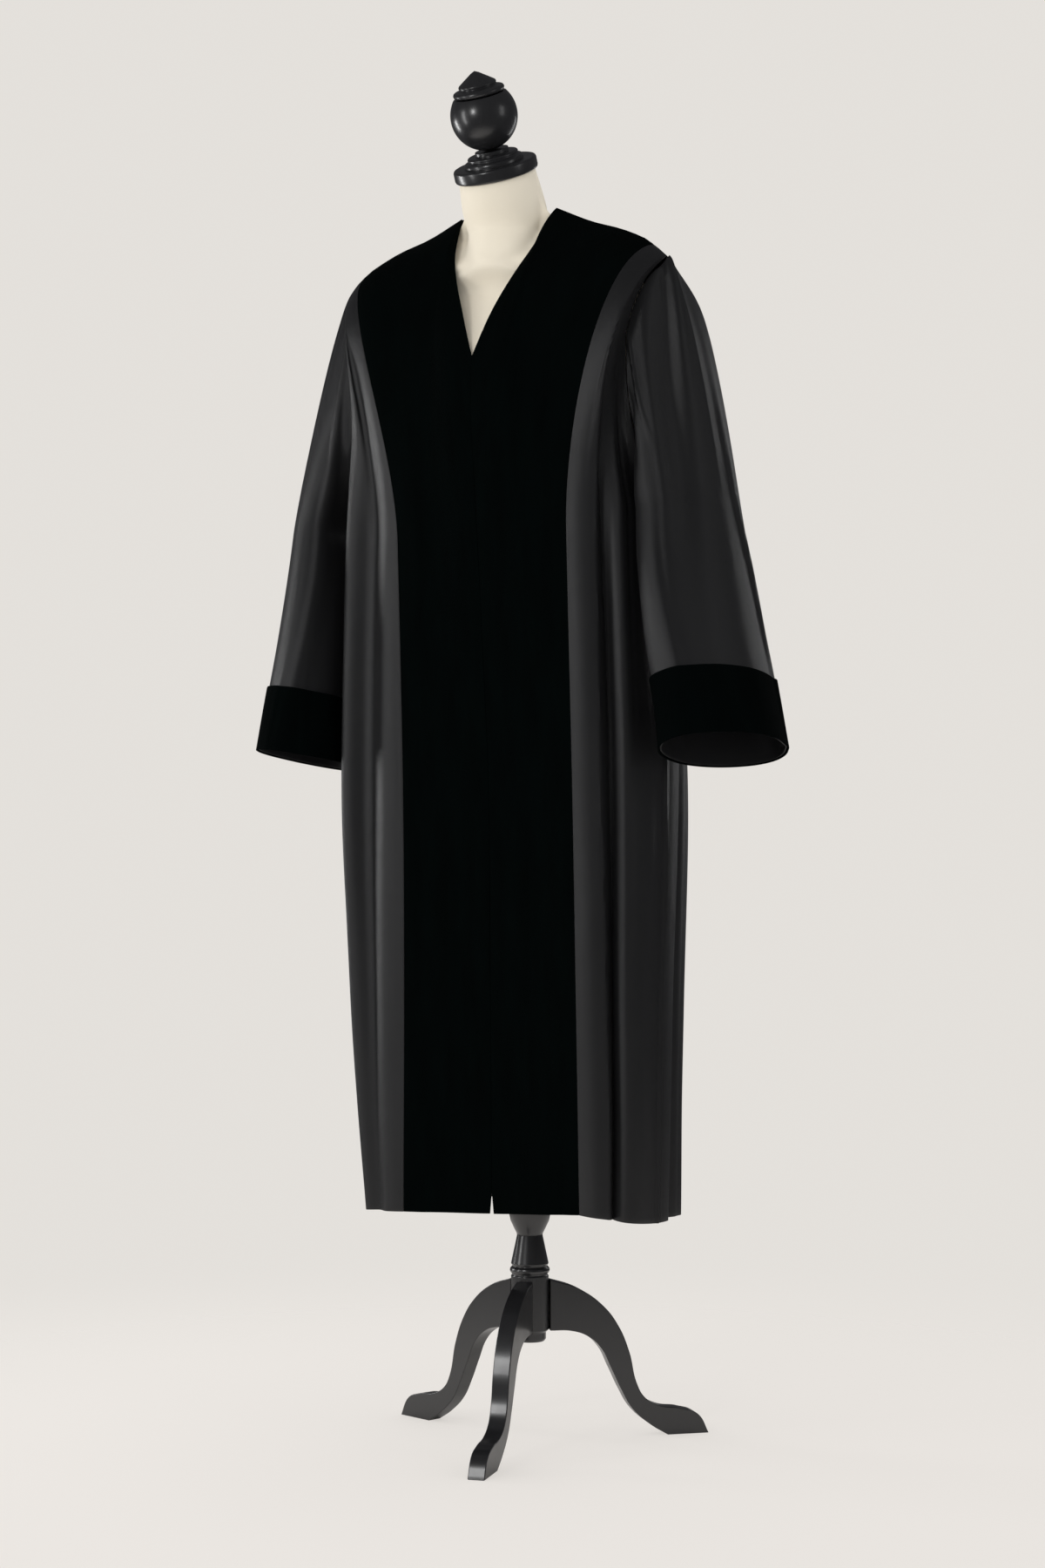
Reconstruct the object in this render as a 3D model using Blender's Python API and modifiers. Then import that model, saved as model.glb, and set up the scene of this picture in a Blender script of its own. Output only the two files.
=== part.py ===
"""Judge's robe on a limbless dress form with a turned tripod stand.

Metres, +Z up. The robe faces -Y and the wearer's left is +X. Everything is measured from the pole's
axis, and one empty moves it all so that the origin lies under the middle of the whole object, on the
floor. The cloth panels are lofts through sections: the skirt's sections are level, and above the chest
each lengthwise thread runs on, as a Bezier curve, to its place on the neckline, shoulder or armhole.
"""

import math

import bmesh
import bpy
import numpy as np
from mathutils import Matrix

# Where the pole stands, so that the whole object's box is centred on the origin.
POLE_Y = 0.035

# Cloth.
WOOL = 0.0015
VELVET = 0.0020
SEAM_GAP = 0.0003
EDGE_TRIM = 0.00025  # how far each panel stops short of a seam
FRONT_TRIM = 0.00055  # the same at the centre front
RIDGE_TRIM = 0.00100  # the same along shoulder, neck and armhole, where the walls meet at an angle
HEM = 0.290
CHEST = 1.100  # above this height the threads leave the level sections

SIDES = ("left", "right")  # the wearer's

# One half of a level section through the skirt, from the hem up. front: the front edge's place in y;
# seam_x, seam_y: the seam from velvet to wool; left, right: the half width on the wearer's left and
# right; side: the side seam's place in y; back: the middle of the back in y.
SKIRT = (
    # height  front   seam_x  seam_y   left   right   side    back
    (HEM, -0.098, 0.1200, -0.103, 0.184, 0.194, -0.015, 0.128),
    (0.55, -0.101, 0.1170, -0.106, 0.190, 0.213, -0.015, 0.130),
    (0.83, -0.108, 0.1150, -0.113, 0.196, 0.224, -0.013, 0.128),
    (1.00, -0.124, 0.1145, -0.121, 0.190, 0.218, -0.010, 0.122),
    (CHEST, -0.134, 0.1145, -0.126, 0.185, 0.212, -0.005, 0.120),
)
FRONT_CORNER = 0.82  # how square a section's corners are: the reach of its Bezier handles
BACK_CORNER = 0.70

# How far the hem is lifted at the velvet's seam and at the side seam.
HEM_LIFT = {"left": (0.006, -0.009), "right": (-0.004, -0.009)}

# The neckline from the front edge's top to the side of the neck.
NECKLINE = (
    # x       y       z
    (0.0000, -0.1480, 1.312),
    (0.0214, -0.1320, 1.371),
    (0.0400, -0.1130, 1.414),
    (0.0530, -0.0930, 1.446),
    (0.0600, -0.0740, 1.472),
    (0.0650, -0.0530, 1.500),
)
# The shoulder seam, from the side of the neck to the top of the armhole.
SHOULDER = (
    # x       y       z
    (0.0650, -0.0530, 1.5000),
    (0.1100, -0.0550, 1.4790),
    (0.1590, -0.0580, 1.4620),
    (0.1950, -0.0620, 1.4430),
    (0.2180, -0.0670, 1.4240),
)
RIGHT_SHOULDER_IN = (0, 0, 0.001, 0.005, 0.010)  # how much nearer the neck those points are on the right
BACK_NECK = ((0.0000, 0.0060, 1.5000), (0.0400, -0.0060, 1.5010), (0.0650, -0.0530, 1.5000))
SEAM_ON_SHOULDER = 0.85  # the velvet's share of the shoulder seam
NECK_THREAD = 0.55  # the share of the velvet's width that ends on the neckline
SHOULDER_THREAD = 0.14  # the share of the wool front's width that ends on the shoulder seam
BACK_ARMHOLE, BACK_SHOULDER = 0.17, 0.38  # shares of the back's width where armhole and shoulder end

# The armhole, once round: top, front, underarm, back. left and right: its distance out on each side.
ARMHOLE = (
    # turn  left    right   y       z
    (0.00, 0.2180, 0.2080, -0.067, 1.424),
    (0.08, 0.2010, 0.1990, -0.091, 1.394),
    (0.17, 0.1840, 0.1920, -0.102, 1.345),
    (0.25, 0.1810, 0.1930, -0.103, 1.300),
    (0.36, 0.1840, 0.1970, -0.088, 1.225),
    (0.44, 0.1890, 0.2010, -0.046, 1.180),
    (0.50, 0.1910, 0.2010, 0.000, 1.167),
    (0.57, 0.1910, 0.1990, 0.045, 1.190),
    (0.66, 0.1880, 0.1940, 0.078, 1.250),
    (0.76, 0.1920, 0.1940, 0.080, 1.320),
    (0.88, 0.2060, 0.2000, 0.032, 1.385),
    (1.00, 0.2180, 0.2080, -0.067, 1.424),
)

# The sleeve's sections below the armhole. Each is an oval, square to the sleeve's line.
SLEEVE = (
    # height  centre_x centre_y  deep    wide
    (1.130, 0.2320, -0.025, 0.0840, 0.0400),
    (1.079, 0.2400, -0.029, 0.0890, 0.0430),
    (0.990, 0.2560, -0.037, 0.0970, 0.0480),
    (0.926, 0.2690, -0.043, 0.1010, 0.0520),
    (0.850, 0.2830, -0.050, 0.1050, 0.0580),
)
SLEEVE_TURN = math.radians(10)  # the oval's front end turned towards the body
# How each arm hangs: its line out from the body and forward, in degrees, then its shift outwards at the
# first section and at the last, and its shift upwards.
ARMS = {"left": (14, 8, 0.004, 0.000, -0.007), "right": (7, 6, 0.040, 0.005, -0.010)}
SLEEVE_CORNER = 1.85  # the oval's exponent: under 2 its front and back ends are sharper
CUFF_DEPTH = 0.080

# Folds. Each pushes the cloth out (or in, where negative) along one thread.
# at: the share of the panel's width; spread: half the fold's width, as a share; then its height.
FRONT_FOLDS = (
    # at    spread  at the hem  at the chest  at the top
    (0.17, 0.16, 0.0050, 0.0040, 0.0),
    (0.40, 0.13, -0.0200, -0.0140, 0.0),
    (0.62, 0.16, 0.0060, 0.0050, 0.0),
    (0.83, 0.10, -0.0060, -0.0080, 0.0),
)
BACK_FOLDS = (
    (0.10, 0.07, -0.0080, -0.0040, 0.0),
    (0.22, 0.07, 0.0070, 0.0040, 0.0),
    (0.33, 0.07, -0.0130, -0.0080, 0.0),
    (0.44, 0.06, 0.0080, 0.0040, 0.0),
    (0.56, 0.07, -0.0100, -0.0060, 0.0),
    (0.67, 0.07, 0.0090, 0.0050, 0.0),
    (0.79, 0.07, -0.0120, -0.0070, 0.0),
    (0.91, 0.06, 0.0050, 0.0030, 0.0),
)
SLEEVE_FOLDS = (
    # at    spread  at the cuff  half way  at the armhole
    (0.05, 0.05, 0.0020, 0.0040, 0.0030),
    (0.12, 0.04, -0.0020, -0.0060, 0.0000),
    (0.19, 0.05, 0.0030, 0.0040, 0.0000),
    (0.29, 0.05, 0.0040, 0.0040, 0.0000),
    (0.68, 0.06, 0.0030, 0.0040, 0.0000),
    (0.80, 0.05, -0.0030, -0.0060, 0.0000),
    (0.90, 0.05, 0.0020, 0.0030, 0.0020),
)

# Threads and rows of each loft. A panel's threads are counted between its corners: neckline and
# shoulder; shoulder and armhole; armhole, shoulder and neck over half of the back.
VELVET_THREADS, FRONT_THREADS, HALF_BACK_THREADS, SLEEVE_THREADS = (5, 3), (2, 11), (7, 5, 3), 24
SKIRT_ROWS, YOKE_ROWS = 10, 10
HEAD_ROWS, ARM_ROWS, CUFF_ROWS = 7, 8, 3

# The dress form, as level sections from the lower end to the neck.
TORSO = (
    # height  centre   wide    front   back
    (0.800, 0.000, 0.1300, 0.0760, 0.0850),
    (0.815, 0.000, 0.1420, 0.0840, 0.0930),
    (0.880, 0.000, 0.1560, 0.0880, 0.1020),
    (0.960, 0.000, 0.1540, 0.0920, 0.1020),
    (1.060, -0.008, 0.1340, 0.0940, 0.0860),
    (1.160, -0.012, 0.1450, 0.1050, 0.0920),
    (1.240, -0.016, 0.1560, 0.1180, 0.0960),
    (1.310, -0.020, 0.1640, 0.1220, 0.0960),
    (1.360, -0.030, 0.1700, 0.0900, 0.0880),
    (1.400, -0.042, 0.1740, 0.0580, 0.0700),
)
# The shoulders: the depth of each section, ahead and behind, under the robe's shoulder seam.
SHOULDERS = (
    (1.425, 0.0360),
    (1.445, 0.0240),
    (1.460, 0.0160),
    (1.471, 0.0095),
    (1.479, 0.0050),
)
SHOULDER_END = 0.172
SHOULDER_DROP = 0.0028  # how far the form's shoulder line lies under the middle of the cloth
NECK_BASE = 0.0485
NECK = (
    # height  centre   radius  lean in degrees
    (1.490, -0.0600, 0.0520, 4),
    (1.502, -0.0640, 0.0525, 8),
    (1.517, -0.0730, 0.0495, 15),
    (1.5395, -0.0845, 0.0465, 27),
)
NECK_ROUND = 28
SHOULDER_CROWDING = 0.045  # how far the rings' points draw towards the two shoulders, in turns

# The tripod.
LEG_BOARD = 0.021
LEG_AT = math.radians(-78)
LEG_OUTLINE = (
    # reach    height  corner
    (0.0225, 0.1985, True),
    (0.0590, 0.1860, False),
    (0.0900, 0.1640, False),
    (0.1100, 0.1380, False),
    (0.1240, 0.1050, False),
    (0.1340, 0.0650, False),
    (0.1440, 0.0480, False),
    (0.1630, 0.0370, False),
    (0.1900, 0.0325, False),
    (0.2130, 0.0240, False),
    (0.2270, 0.0000, True),
    (0.1740, 0.0000, True),
    (0.1510, 0.0140, False),
    (0.1280, 0.0345, False),
    (0.1140, 0.0580, False),
    (0.1010, 0.0850, False),
    (0.0870, 0.1120, False),
    (0.0700, 0.1270, False),
    (0.0500, 0.1340, False),
    (0.0225, 0.1355, True),
)


# ---------------------------------------------------------------------------------- curves and lofts


def smooth(keys, values, at):
    """The cubic curve through the values at these keys, read at each of at."""
    keys, values, at = (np.asarray(a, float) for a in (keys, values, at))
    slopes = np.gradient(values, keys, axis=0)
    i = np.clip(np.searchsorted(keys, at, side="right") - 1, 0, len(keys) - 2)
    span = keys[i + 1] - keys[i]
    t = (at - keys[i]) / span
    if values.ndim > 1:
        t, span = t[..., None], span[..., None]
    low, high = values[i], values[i + 1]
    rise = slopes[i] * span
    fall = slopes[i + 1] * span
    return (
        low * (2 * t**3 - 3 * t**2 + 1)
        + rise * (t**3 - 2 * t**2 + t)
        + high * (3 * t**2 - 2 * t**3)
        + fall * (t**3 - t**2)
    )


def along(points, share):
    """Points at these shares of the length of a smooth curve through the given points."""
    points = np.asarray(points, float)
    reach = np.concatenate([[0], np.cumsum(np.linalg.norm(np.diff(points, axis=0), axis=1))])
    return smooth(reach / reach[-1], points, share)


def bezier(start, start_handle, end_handle, end, t):
    """The Bezier curve at t. Every argument broadcasts against t[..., None]."""
    t = np.asarray(t, float)[..., None]
    return (
        (1 - t) ** 3 * start
        + 3 * (1 - t) ** 2 * t * start_handle
        + 3 * (1 - t) * t**2 * end_handle
        + t**3 * end
    )


def thread_places(corners, counts):
    """Shares of a panel's width with a thread at each corner and the counted threads between."""
    spans = zip(corners, corners[1:], counts)
    places = [np.linspace(low, high, count + 1)[:-1] for low, high, count in spans]
    return np.append(np.concatenate(places), corners[-1])


def unit(vectors):
    vectors = np.asarray(vectors, float)
    return vectors / np.linalg.norm(vectors, axis=-1, keepdims=True)


def normals(grid, closed):
    """The surface's normals at the points of a grid of rows and threads, pointing away from the pole."""
    if closed:
        ring = grid[:, :-1]
        across = np.roll(ring, -1, axis=1) - np.roll(ring, 1, axis=1)
        across = np.concatenate([across, across[:, :1]], axis=1)
    else:
        across = np.gradient(grid, axis=1)
    return unit(np.cross(across, np.gradient(grid, axis=0)))


def fold(grid, table, shares, heights, closed=False):
    """Moves a grid's points out along its normals by the folds in a table.

    shares holds each thread's place across the panel. heights holds each row's place from the first
    height column of the table (0) through the second (1) to the third (2).
    """
    push = np.zeros(grid.shape[:2])
    for at, spread, *sizes in table:
        off = shares - at
        if closed:
            off = (off + 0.5) % 1 - 0.5
        bump = np.cos(np.clip(np.abs(off) / spread, 0, 1) * math.pi / 2) ** 2
        push += np.interp(heights, (0, 1, 2), sizes)[:, None] * bump[None, :]
    return grid + normals(grid, closed) * push[..., None]


def trim(grid, first_row=0.0, last_row=0.0, first_thread=0.0, last_thread=0.0):
    """Draws a grid's edges in along its own rows and threads by the given lengths."""
    grid = grid.copy()
    grid[0] += unit(grid[1] - grid[0]) * first_row
    grid[-1] += unit(grid[-2] - grid[-1]) * last_row
    grid[:, 0] += unit(grid[:, 1] - grid[:, 0]) * first_thread
    grid[:, -1] += unit(grid[:, -2] - grid[:, -1]) * last_thread
    return grid


# ------------------------------------------------------------------------------------- the robe's form


def skirt_sizes(height):
    """front, seam_x, seam_y, left, right, side and back at a height."""
    table = np.array(SKIRT)
    return smooth(table[:, 0], table[:, 1:], height)


def velvet_section(height, shares):
    """A level section of the velvet front, from the front edge out to its seam."""
    front, seam_x, seam_y, *_ = skirt_sizes(height)
    y = front + (seam_y - front) * shares**2
    return np.stack([seam_x * shares, y, np.full_like(shares, height)], axis=-1)


def front_section(height, shares, half_width):
    """A level section of the wool front, from the velvet's seam round to the side seam."""
    front, seam_x, seam_y, _, _, side, _ = skirt_sizes(height)
    slope = 2 * (seam_y - front) / seam_x
    reach = FRONT_CORNER * (half_width - seam_x)
    start = np.array([seam_x, seam_y, height])
    end = np.array([half_width, side, height])
    start_handle = start + np.array([reach, slope * reach * 0.5, 0])
    end_handle = end - np.array([0, FRONT_CORNER * (side - seam_y), 0])
    return bezier(start, start_handle, end_handle, end, shares)


def back_section(height, shares):
    """A level section of the back, from the wearer's left side seam round to the right one."""
    _, _, _, left, right, side, back = skirt_sizes(height)
    middle = np.array([0, back, height])
    halves = []
    for half_width in (left, right):
        end = np.array([half_width, side, height])
        end_handle = end + np.array([0, BACK_CORNER * (back - side), 0])
        middle_handle = middle + np.array([BACK_CORNER * half_width, 0, 0])
        halves.append((end, end_handle, middle_handle, middle))
    t = np.clip(shares * 2, 0, 1)
    left_half = bezier(*halves[0], t)
    right_half = bezier(*halves[1], np.clip(2 - shares * 2, 0, 1))
    right_half[:, 0] *= -1
    return np.where(shares[:, None] <= 0.5, left_half, right_half)


def armhole(turns, side):
    table = np.array(ARMHOLE)
    columns = [SIDES.index(side) + 1, 3, 4]
    return smooth(table[:, 0], table[:, columns], np.asarray(turns, float))


def shoulder_seam(shares, side):
    seam = np.array(SHOULDER)
    if side == "right":
        seam[:, 0] -= RIGHT_SHOULDER_IN
    return along(seam, shares)


def velvet_top(shares, side):
    """Where the velvet's threads end, and the way that they point there."""
    on_neck = np.clip(shares / NECK_THREAD, 0, 1)
    on_shoulder = np.clip((shares - NECK_THREAD) / (1 - NECK_THREAD), 0, 1)
    neck = along(NECKLINE, on_neck)
    shoulder = shoulder_seam(on_shoulder * SEAM_ON_SHOULDER, side)
    ends = np.where((shares <= NECK_THREAD)[:, None], neck, shoulder)
    ways = smooth((0, NECK_THREAD, 1), ((0, 0.10, 1), (0.1, 1, 0.75), (0.12, 1, 0.25)), shares)
    return ends, unit(ways)


def front_top(shares, side):
    """Where the wool front's threads end: first on the shoulder, then down the armhole."""
    on_shoulder = SEAM_ON_SHOULDER + (1 - SEAM_ON_SHOULDER) * np.clip(shares / SHOULDER_THREAD, 0, 1)
    turns = 0.5 * np.clip((shares - SHOULDER_THREAD) / (1 - SHOULDER_THREAD), 0, 1)
    ends = np.where(
        (shares <= SHOULDER_THREAD)[:, None], shoulder_seam(on_shoulder, side), armhole(turns, side)
    )
    ways = smooth(
        (0, SHOULDER_THREAD, 0.45, 1),
        ((0.12, 1, 0.25), (0.15, 1, 0.35), (0.25, 0.12, 1), (0.05, 0.0, 1)),
        shares,
    )
    return ends, unit(ways)


def half_back_top(shares, side):
    """Where the threads of one half of the back end: armhole, shoulder, neck."""
    turns = 0.5 + 0.5 * np.clip(shares / BACK_ARMHOLE, 0, 1)
    on_shoulder = 1 - np.clip((shares - BACK_ARMHOLE) / (BACK_SHOULDER - BACK_ARMHOLE), 0, 1)
    on_neck = 1 - np.clip((shares - BACK_SHOULDER) / (0.5 - BACK_SHOULDER), 0, 1)
    upper = np.where(
        (shares <= BACK_SHOULDER)[:, None], shoulder_seam(on_shoulder, side), along(BACK_NECK, on_neck)
    )
    ends = np.where((shares <= BACK_ARMHOLE)[:, None], armhole(turns, side), upper)
    ways = smooth(
        (0, 0.10, BACK_ARMHOLE, BACK_SHOULDER, 0.5),
        ((0.05, 0.0, 1), (0.2, -0.15, 1), (0.1, -1, 0.35), (0.05, -1, 0.45), (0, -0.45, 1)),
        shares,
    )
    return ends, unit(ways)


def back_top(shares):
    """Where all of the back's threads end, from the wearer's left side seam to the right one."""
    left_ends, left_ways = half_back_top(np.minimum(shares, 0.5), "left")
    right_ends, right_ways = half_back_top(np.minimum(1 - shares, 0.5), "right")
    on_left = (shares <= 0.5)[:, None]
    other_way = (-1, 1, 1)
    ends = np.where(on_left, left_ends, right_ends * other_way)
    return ends, np.where(on_left, left_ways, right_ways * other_way)


def panel(section, top, shares):
    """The grid of a body panel: level rows up to the chest, then threads that bend to their ends."""
    rows = [section(height, shares) for height in np.linspace(HEM, CHEST, SKIRT_ROWS + 1)]
    start = rows[-1]
    rise = unit(start - section(CHEST - 0.03, shares))
    ends, ways = top(shares)
    length = np.linalg.norm(ends - start, axis=-1, keepdims=True)
    handles = start + rise * length * 0.36, ends - ways * length * 0.34
    for t in np.linspace(0, 1, YOKE_ROWS + 1)[1:]:
        rows.append(bezier(start, *handles, ends, np.full(len(shares), t)))
    return np.array(rows)


def fold_rows():
    """Each row's place in a fold table: hem 0, chest 1, top 2."""
    return np.concatenate([np.linspace(0, 1, SKIRT_ROWS + 1), np.linspace(1, 2, YOKE_ROWS + 1)[1:]])


def hang(grid, shares, lift_first, lift_last):
    """Lifts the hem by one amount at the first thread and another at the last, fading out up the skirt."""
    grid = grid.copy()
    lifts = lift_first + (lift_last - lift_first) * shares
    fade = np.clip(1 - fold_rows(), 0, 1) ** 2
    grid[:, :, 2] += fade[:, None] * lifts[None, :]
    return grid


def velvet_front(side):
    shares = thread_places((0, NECK_THREAD, 1), VELVET_THREADS)
    grid = panel(velvet_section, lambda at: velvet_top(at, side), shares)
    return hang(grid, shares, 0, HEM_LIFT[side][0])


def wool_front(side):
    shares = thread_places((0, SHOULDER_THREAD, 1), FRONT_THREADS)
    half_width_column = {"left": 3, "right": 4}[side]

    def section(height, shares):
        return front_section(height, shares, skirt_sizes(height)[half_width_column])

    grid = panel(section, lambda at: front_top(at, side), shares)
    return hang(fold(grid, FRONT_FOLDS, shares, fold_rows()), shares, *HEM_LIFT[side])


def wool_back():
    half = thread_places((0, BACK_ARMHOLE, BACK_SHOULDER, 0.5), HALF_BACK_THREADS)
    shares = np.concatenate([half, 1 - half[-2::-1]])
    grid = panel(back_section, back_top, shares)
    grid = fold(grid, BACK_FOLDS, shares, fold_rows())
    return hang(grid, shares, HEM_LIFT["left"][1], HEM_LIFT["right"][1])


def sleeve_line(side):
    out, forward = (math.tan(math.radians(angle)) for angle in ARMS[side][:2])
    return unit([out, -forward, -1])


def sleeve_ring(side, height, turns):
    """An oval section of the sleeve, square to its line. Turn 0 is outside, 0.25 in front."""
    table = np.array(SLEEVE)[::-1]
    centre_x, centre_y, deep, wide = smooth(table[:, 0], table[:, 1:], height)
    line = sleeve_line(side)
    ahead = unit(np.cross(line, [1, 0, 0]))
    ahead = ahead if ahead[1] < 0 else -ahead
    out = unit(np.cross(ahead, line))
    out = out if out[0] > 0 else -out
    angles = np.asarray(turns) * 2 * math.pi
    power = 2 / SLEEVE_CORNER
    across = np.sign(np.cos(angles)) * np.abs(np.cos(angles)) ** power * wide
    along_ = np.sign(np.sin(angles)) * np.abs(np.sin(angles)) ** power * deep
    turned_out = math.cos(SLEEVE_TURN) * out + math.sin(SLEEVE_TURN) * ahead
    turned_ahead = math.cos(SLEEVE_TURN) * ahead - math.sin(SLEEVE_TURN) * out
    first_shift, last_shift, up = ARMS[side][2:]
    shift = np.interp(height, (SLEEVE[-1][0], SLEEVE[0][0]), (last_shift, first_shift))
    centre = np.array([centre_x + shift, centre_y, height + up])
    return centre + across[:, None] * turned_out + along_[:, None] * turned_ahead


def sleeve(side):
    turns = np.linspace(0, 1, SLEEVE_THREADS + 1)
    start = armhole(turns, side)
    outward = 0.5 + 0.5 * np.cos(turns * 2 * math.pi)
    ways = unit(np.stack([0.25 + 0.75 * outward, 0 * turns, -0.35 * outward - 1.0 * (1 - outward)], axis=-1))
    start[:, 0] += SEAM_GAP + WOOL * (1.6 - 0.6 * outward)
    first = SLEEVE[0][0]
    end = sleeve_ring(side, first, turns)
    length = np.linalg.norm(end - start, axis=-1, keepdims=True)
    handles = start + ways * length * 0.10, end - sleeve_line(side) * length * 0.22
    rows = [bezier(start, *handles, end, np.full(len(turns), t)) for t in np.linspace(0, 1, HEAD_ROWS + 1)]
    last = SLEEVE[-1][0]
    rows += [sleeve_ring(side, height, turns) for height in np.linspace(first, last, ARM_ROWS + 1)[1:]]
    places = np.concatenate([np.linspace(2, 1, HEAD_ROWS + 1), np.linspace(1, 0, ARM_ROWS + 1)[1:]])
    grid = np.array(rows)
    return fold(grid, SLEEVE_FOLDS, turns, places, closed=True)


def cuff(sleeve_grid):
    """The cuff, from the sleeve's own points moved out."""
    turns = np.linspace(0, 1, SLEEVE_THREADS + 1)
    first, last = SLEEVE[0][0], SLEEVE[-1][0]
    heights = np.linspace(first, last, ARM_ROWS + 1)
    arm = sleeve_grid[-ARM_ROWS - 1 :]
    out = normals(arm, closed=True)
    clear = (WOOL + VELVET) / 2 + SEAM_GAP + 0.0005
    moved = arm + out * clear
    rows = []
    for share in np.linspace(0, 1, CUFF_ROWS + 1):
        height = last + CUFF_DEPTH * (1 - share)
        place = np.interp(height, heights[::-1], np.arange(ARM_ROWS, -1, -1))
        low = int(min(place, ARM_ROWS - 1))
        row = moved[low] + (moved[low + 1] - moved[low]) * (place - low)
        rows.append(row)
    return np.array(rows)


# ------------------------------------------------------------------------------------ making the objects


def material(name, colour, roughness, metallic=0.0):
    made = bpy.data.materials.new(name)
    made.use_nodes = True
    shader = made.node_tree.nodes["Principled BSDF"]
    shader.inputs["Base Color"].default_value = (*colour, 1)
    shader.inputs["Roughness"].default_value = roughness
    shader.inputs["Metallic"].default_value = metallic
    return made


def add_object(name, data, finish, parent):
    made = bpy.data.objects.new(name, data)
    data.materials.append(finish)
    made.parent = parent
    bpy.data.collections["judge_robe"].objects.link(made)
    return made


def lofted_mesh(name, rings, closed, capped=False):
    """A mesh through rows of points, each row a section. closed joins each row's ends."""
    count = rings.shape[1]
    mesh = bmesh.new()
    rows = [[mesh.verts.new(point) for point in ring] for ring in rings]
    steps = count if closed else count - 1
    for below, above in zip(rows, rows[1:]):
        for i in range(steps):
            j = (i + 1) % count
            mesh.faces.new((below[i], below[j], above[j], above[i]))
    if capped:
        mesh.faces.new(rows[0][::-1])
        mesh.faces.new(rows[-1])
    for face in mesh.faces:
        face.smooth = True
    data = bpy.data.meshes.new(name)
    mesh.to_mesh(data)
    mesh.free()
    return data


def cloth(name, grid, thickness, finish, parent, closed=False):
    """A cloth wall with the grid at the middle of its thickness."""
    rings = grid[:, :-1] if closed else grid
    made = add_object(name, lofted_mesh(name, rings, closed), finish, parent)
    wall = made.modifiers.new("wall", "SOLIDIFY")
    wall.thickness = thickness
    wall.offset = 0
    wall.use_even_offset = True
    return made


def mirrored(grid):
    """The grid of the same piece on the wearer's right."""
    return (grid * (-1, 1, 1))[:, ::-1]


def turned(name, profile, finish, parent, steps=28):
    """A turned piece: (radius, height) down its outer side, spun about its own Z axis."""
    data = bpy.data.meshes.new(name)
    data.from_pydata([(r, 0, z) for r, z in profile], [(i, i + 1) for i in range(len(profile) - 1)], [])
    made = add_object(name, data, finish, parent)
    spin = made.modifiers.new("turn", "SCREW")
    spin.steps = spin.render_steps = steps
    spin.use_merge_vertices = True
    spin.merge_threshold = 0.00001
    spin.use_smooth_shade = True
    return made


def arc(centre, radius, start, end, steps):
    """Profile points on an arc about (0 or more, height), by angle in degrees up from the floor plane."""
    angles = np.radians(np.linspace(start, end, steps + 1))
    return [(centre[0] + radius * math.cos(a), centre[1] + radius * math.sin(a)) for a in angles]


def robe(finishes, parent):
    wool, velvet = finishes["wool"], finishes["velvet"]
    for side, placed in zip(SIDES, (np.array, mirrored)):
        band = trim(velvet_front(side), 0, RIDGE_TRIM, FRONT_TRIM, EDGE_TRIM)
        cloth(f"velvet_front_{side}", placed(band), VELVET, velvet, parent)
        front = trim(wool_front(side), 0, RIDGE_TRIM, EDGE_TRIM, EDGE_TRIM)
        cloth(f"wool_front_{side}", placed(front), WOOL, wool, parent)
        arm = sleeve(side)
        cloth(f"sleeve_{side}", placed(arm), WOOL, wool, parent, closed=True)
        cloth(f"cuff_{side}", placed(cuff(arm)), VELVET, velvet, parent, closed=True)
    cloth("wool_back", trim(wool_back(), 0, RIDGE_TRIM, EDGE_TRIM, EDGE_TRIM), WOOL, wool, parent)


def oval(centre, height, wide, front, back, turns):
    angles = turns * 2 * math.pi
    depth = np.where(np.sin(angles) < 0, front, back)
    x, y = wide * np.cos(angles), centre + depth * np.sin(angles)
    return np.stack([x, y, np.full_like(x, height)], axis=-1)


def shoulder_ring(height, depth, turns):
    """A level section through shoulders and neck: the wider of an oval and a circle, blended."""
    seam = np.array(SHOULDER)
    wide, centre = (np.interp(height + SHOULDER_DROP, seam[::-1, 2], seam[::-1, i]) for i in (0, 1))
    wide = min(wide, SHOULDER_END)
    angles = turns * 2 * math.pi
    oval_reach = 1 / np.hypot(np.cos(angles) / wide, np.sin(angles) / depth)
    reach = (oval_reach**10 + NECK_BASE**10) ** 0.1
    x, y = reach * np.cos(angles), centre + reach * np.sin(angles)
    return np.stack([x, y, np.full_like(x, height)], axis=-1)


def neck_ring(centre, height, radius, lean, turns):
    angles = turns * 2 * math.pi
    ahead = radius * np.sin(angles)
    lean = math.radians(lean)
    y, z = centre + ahead * math.cos(lean), height + ahead * math.sin(lean)
    return np.stack([radius * np.cos(angles), y, z], axis=-1)


def dress_form(finish, parent):
    turns = np.arange(NECK_ROUND) / NECK_ROUND
    turns -= SHOULDER_CROWDING * np.sin(4 * math.pi * turns)
    rings = [oval(centre, height, wide, front, back, turns) for height, centre, wide, front, back in TORSO]
    rings += [shoulder_ring(height, depth, turns) for height, depth in SHOULDERS]
    rings += [neck_ring(centre, height, radius, lean, turns) for height, centre, radius, lean in NECK]
    add_object("form_torso", lofted_mesh("form_torso", np.array(rings), True, capped=True), finish, parent)


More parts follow.
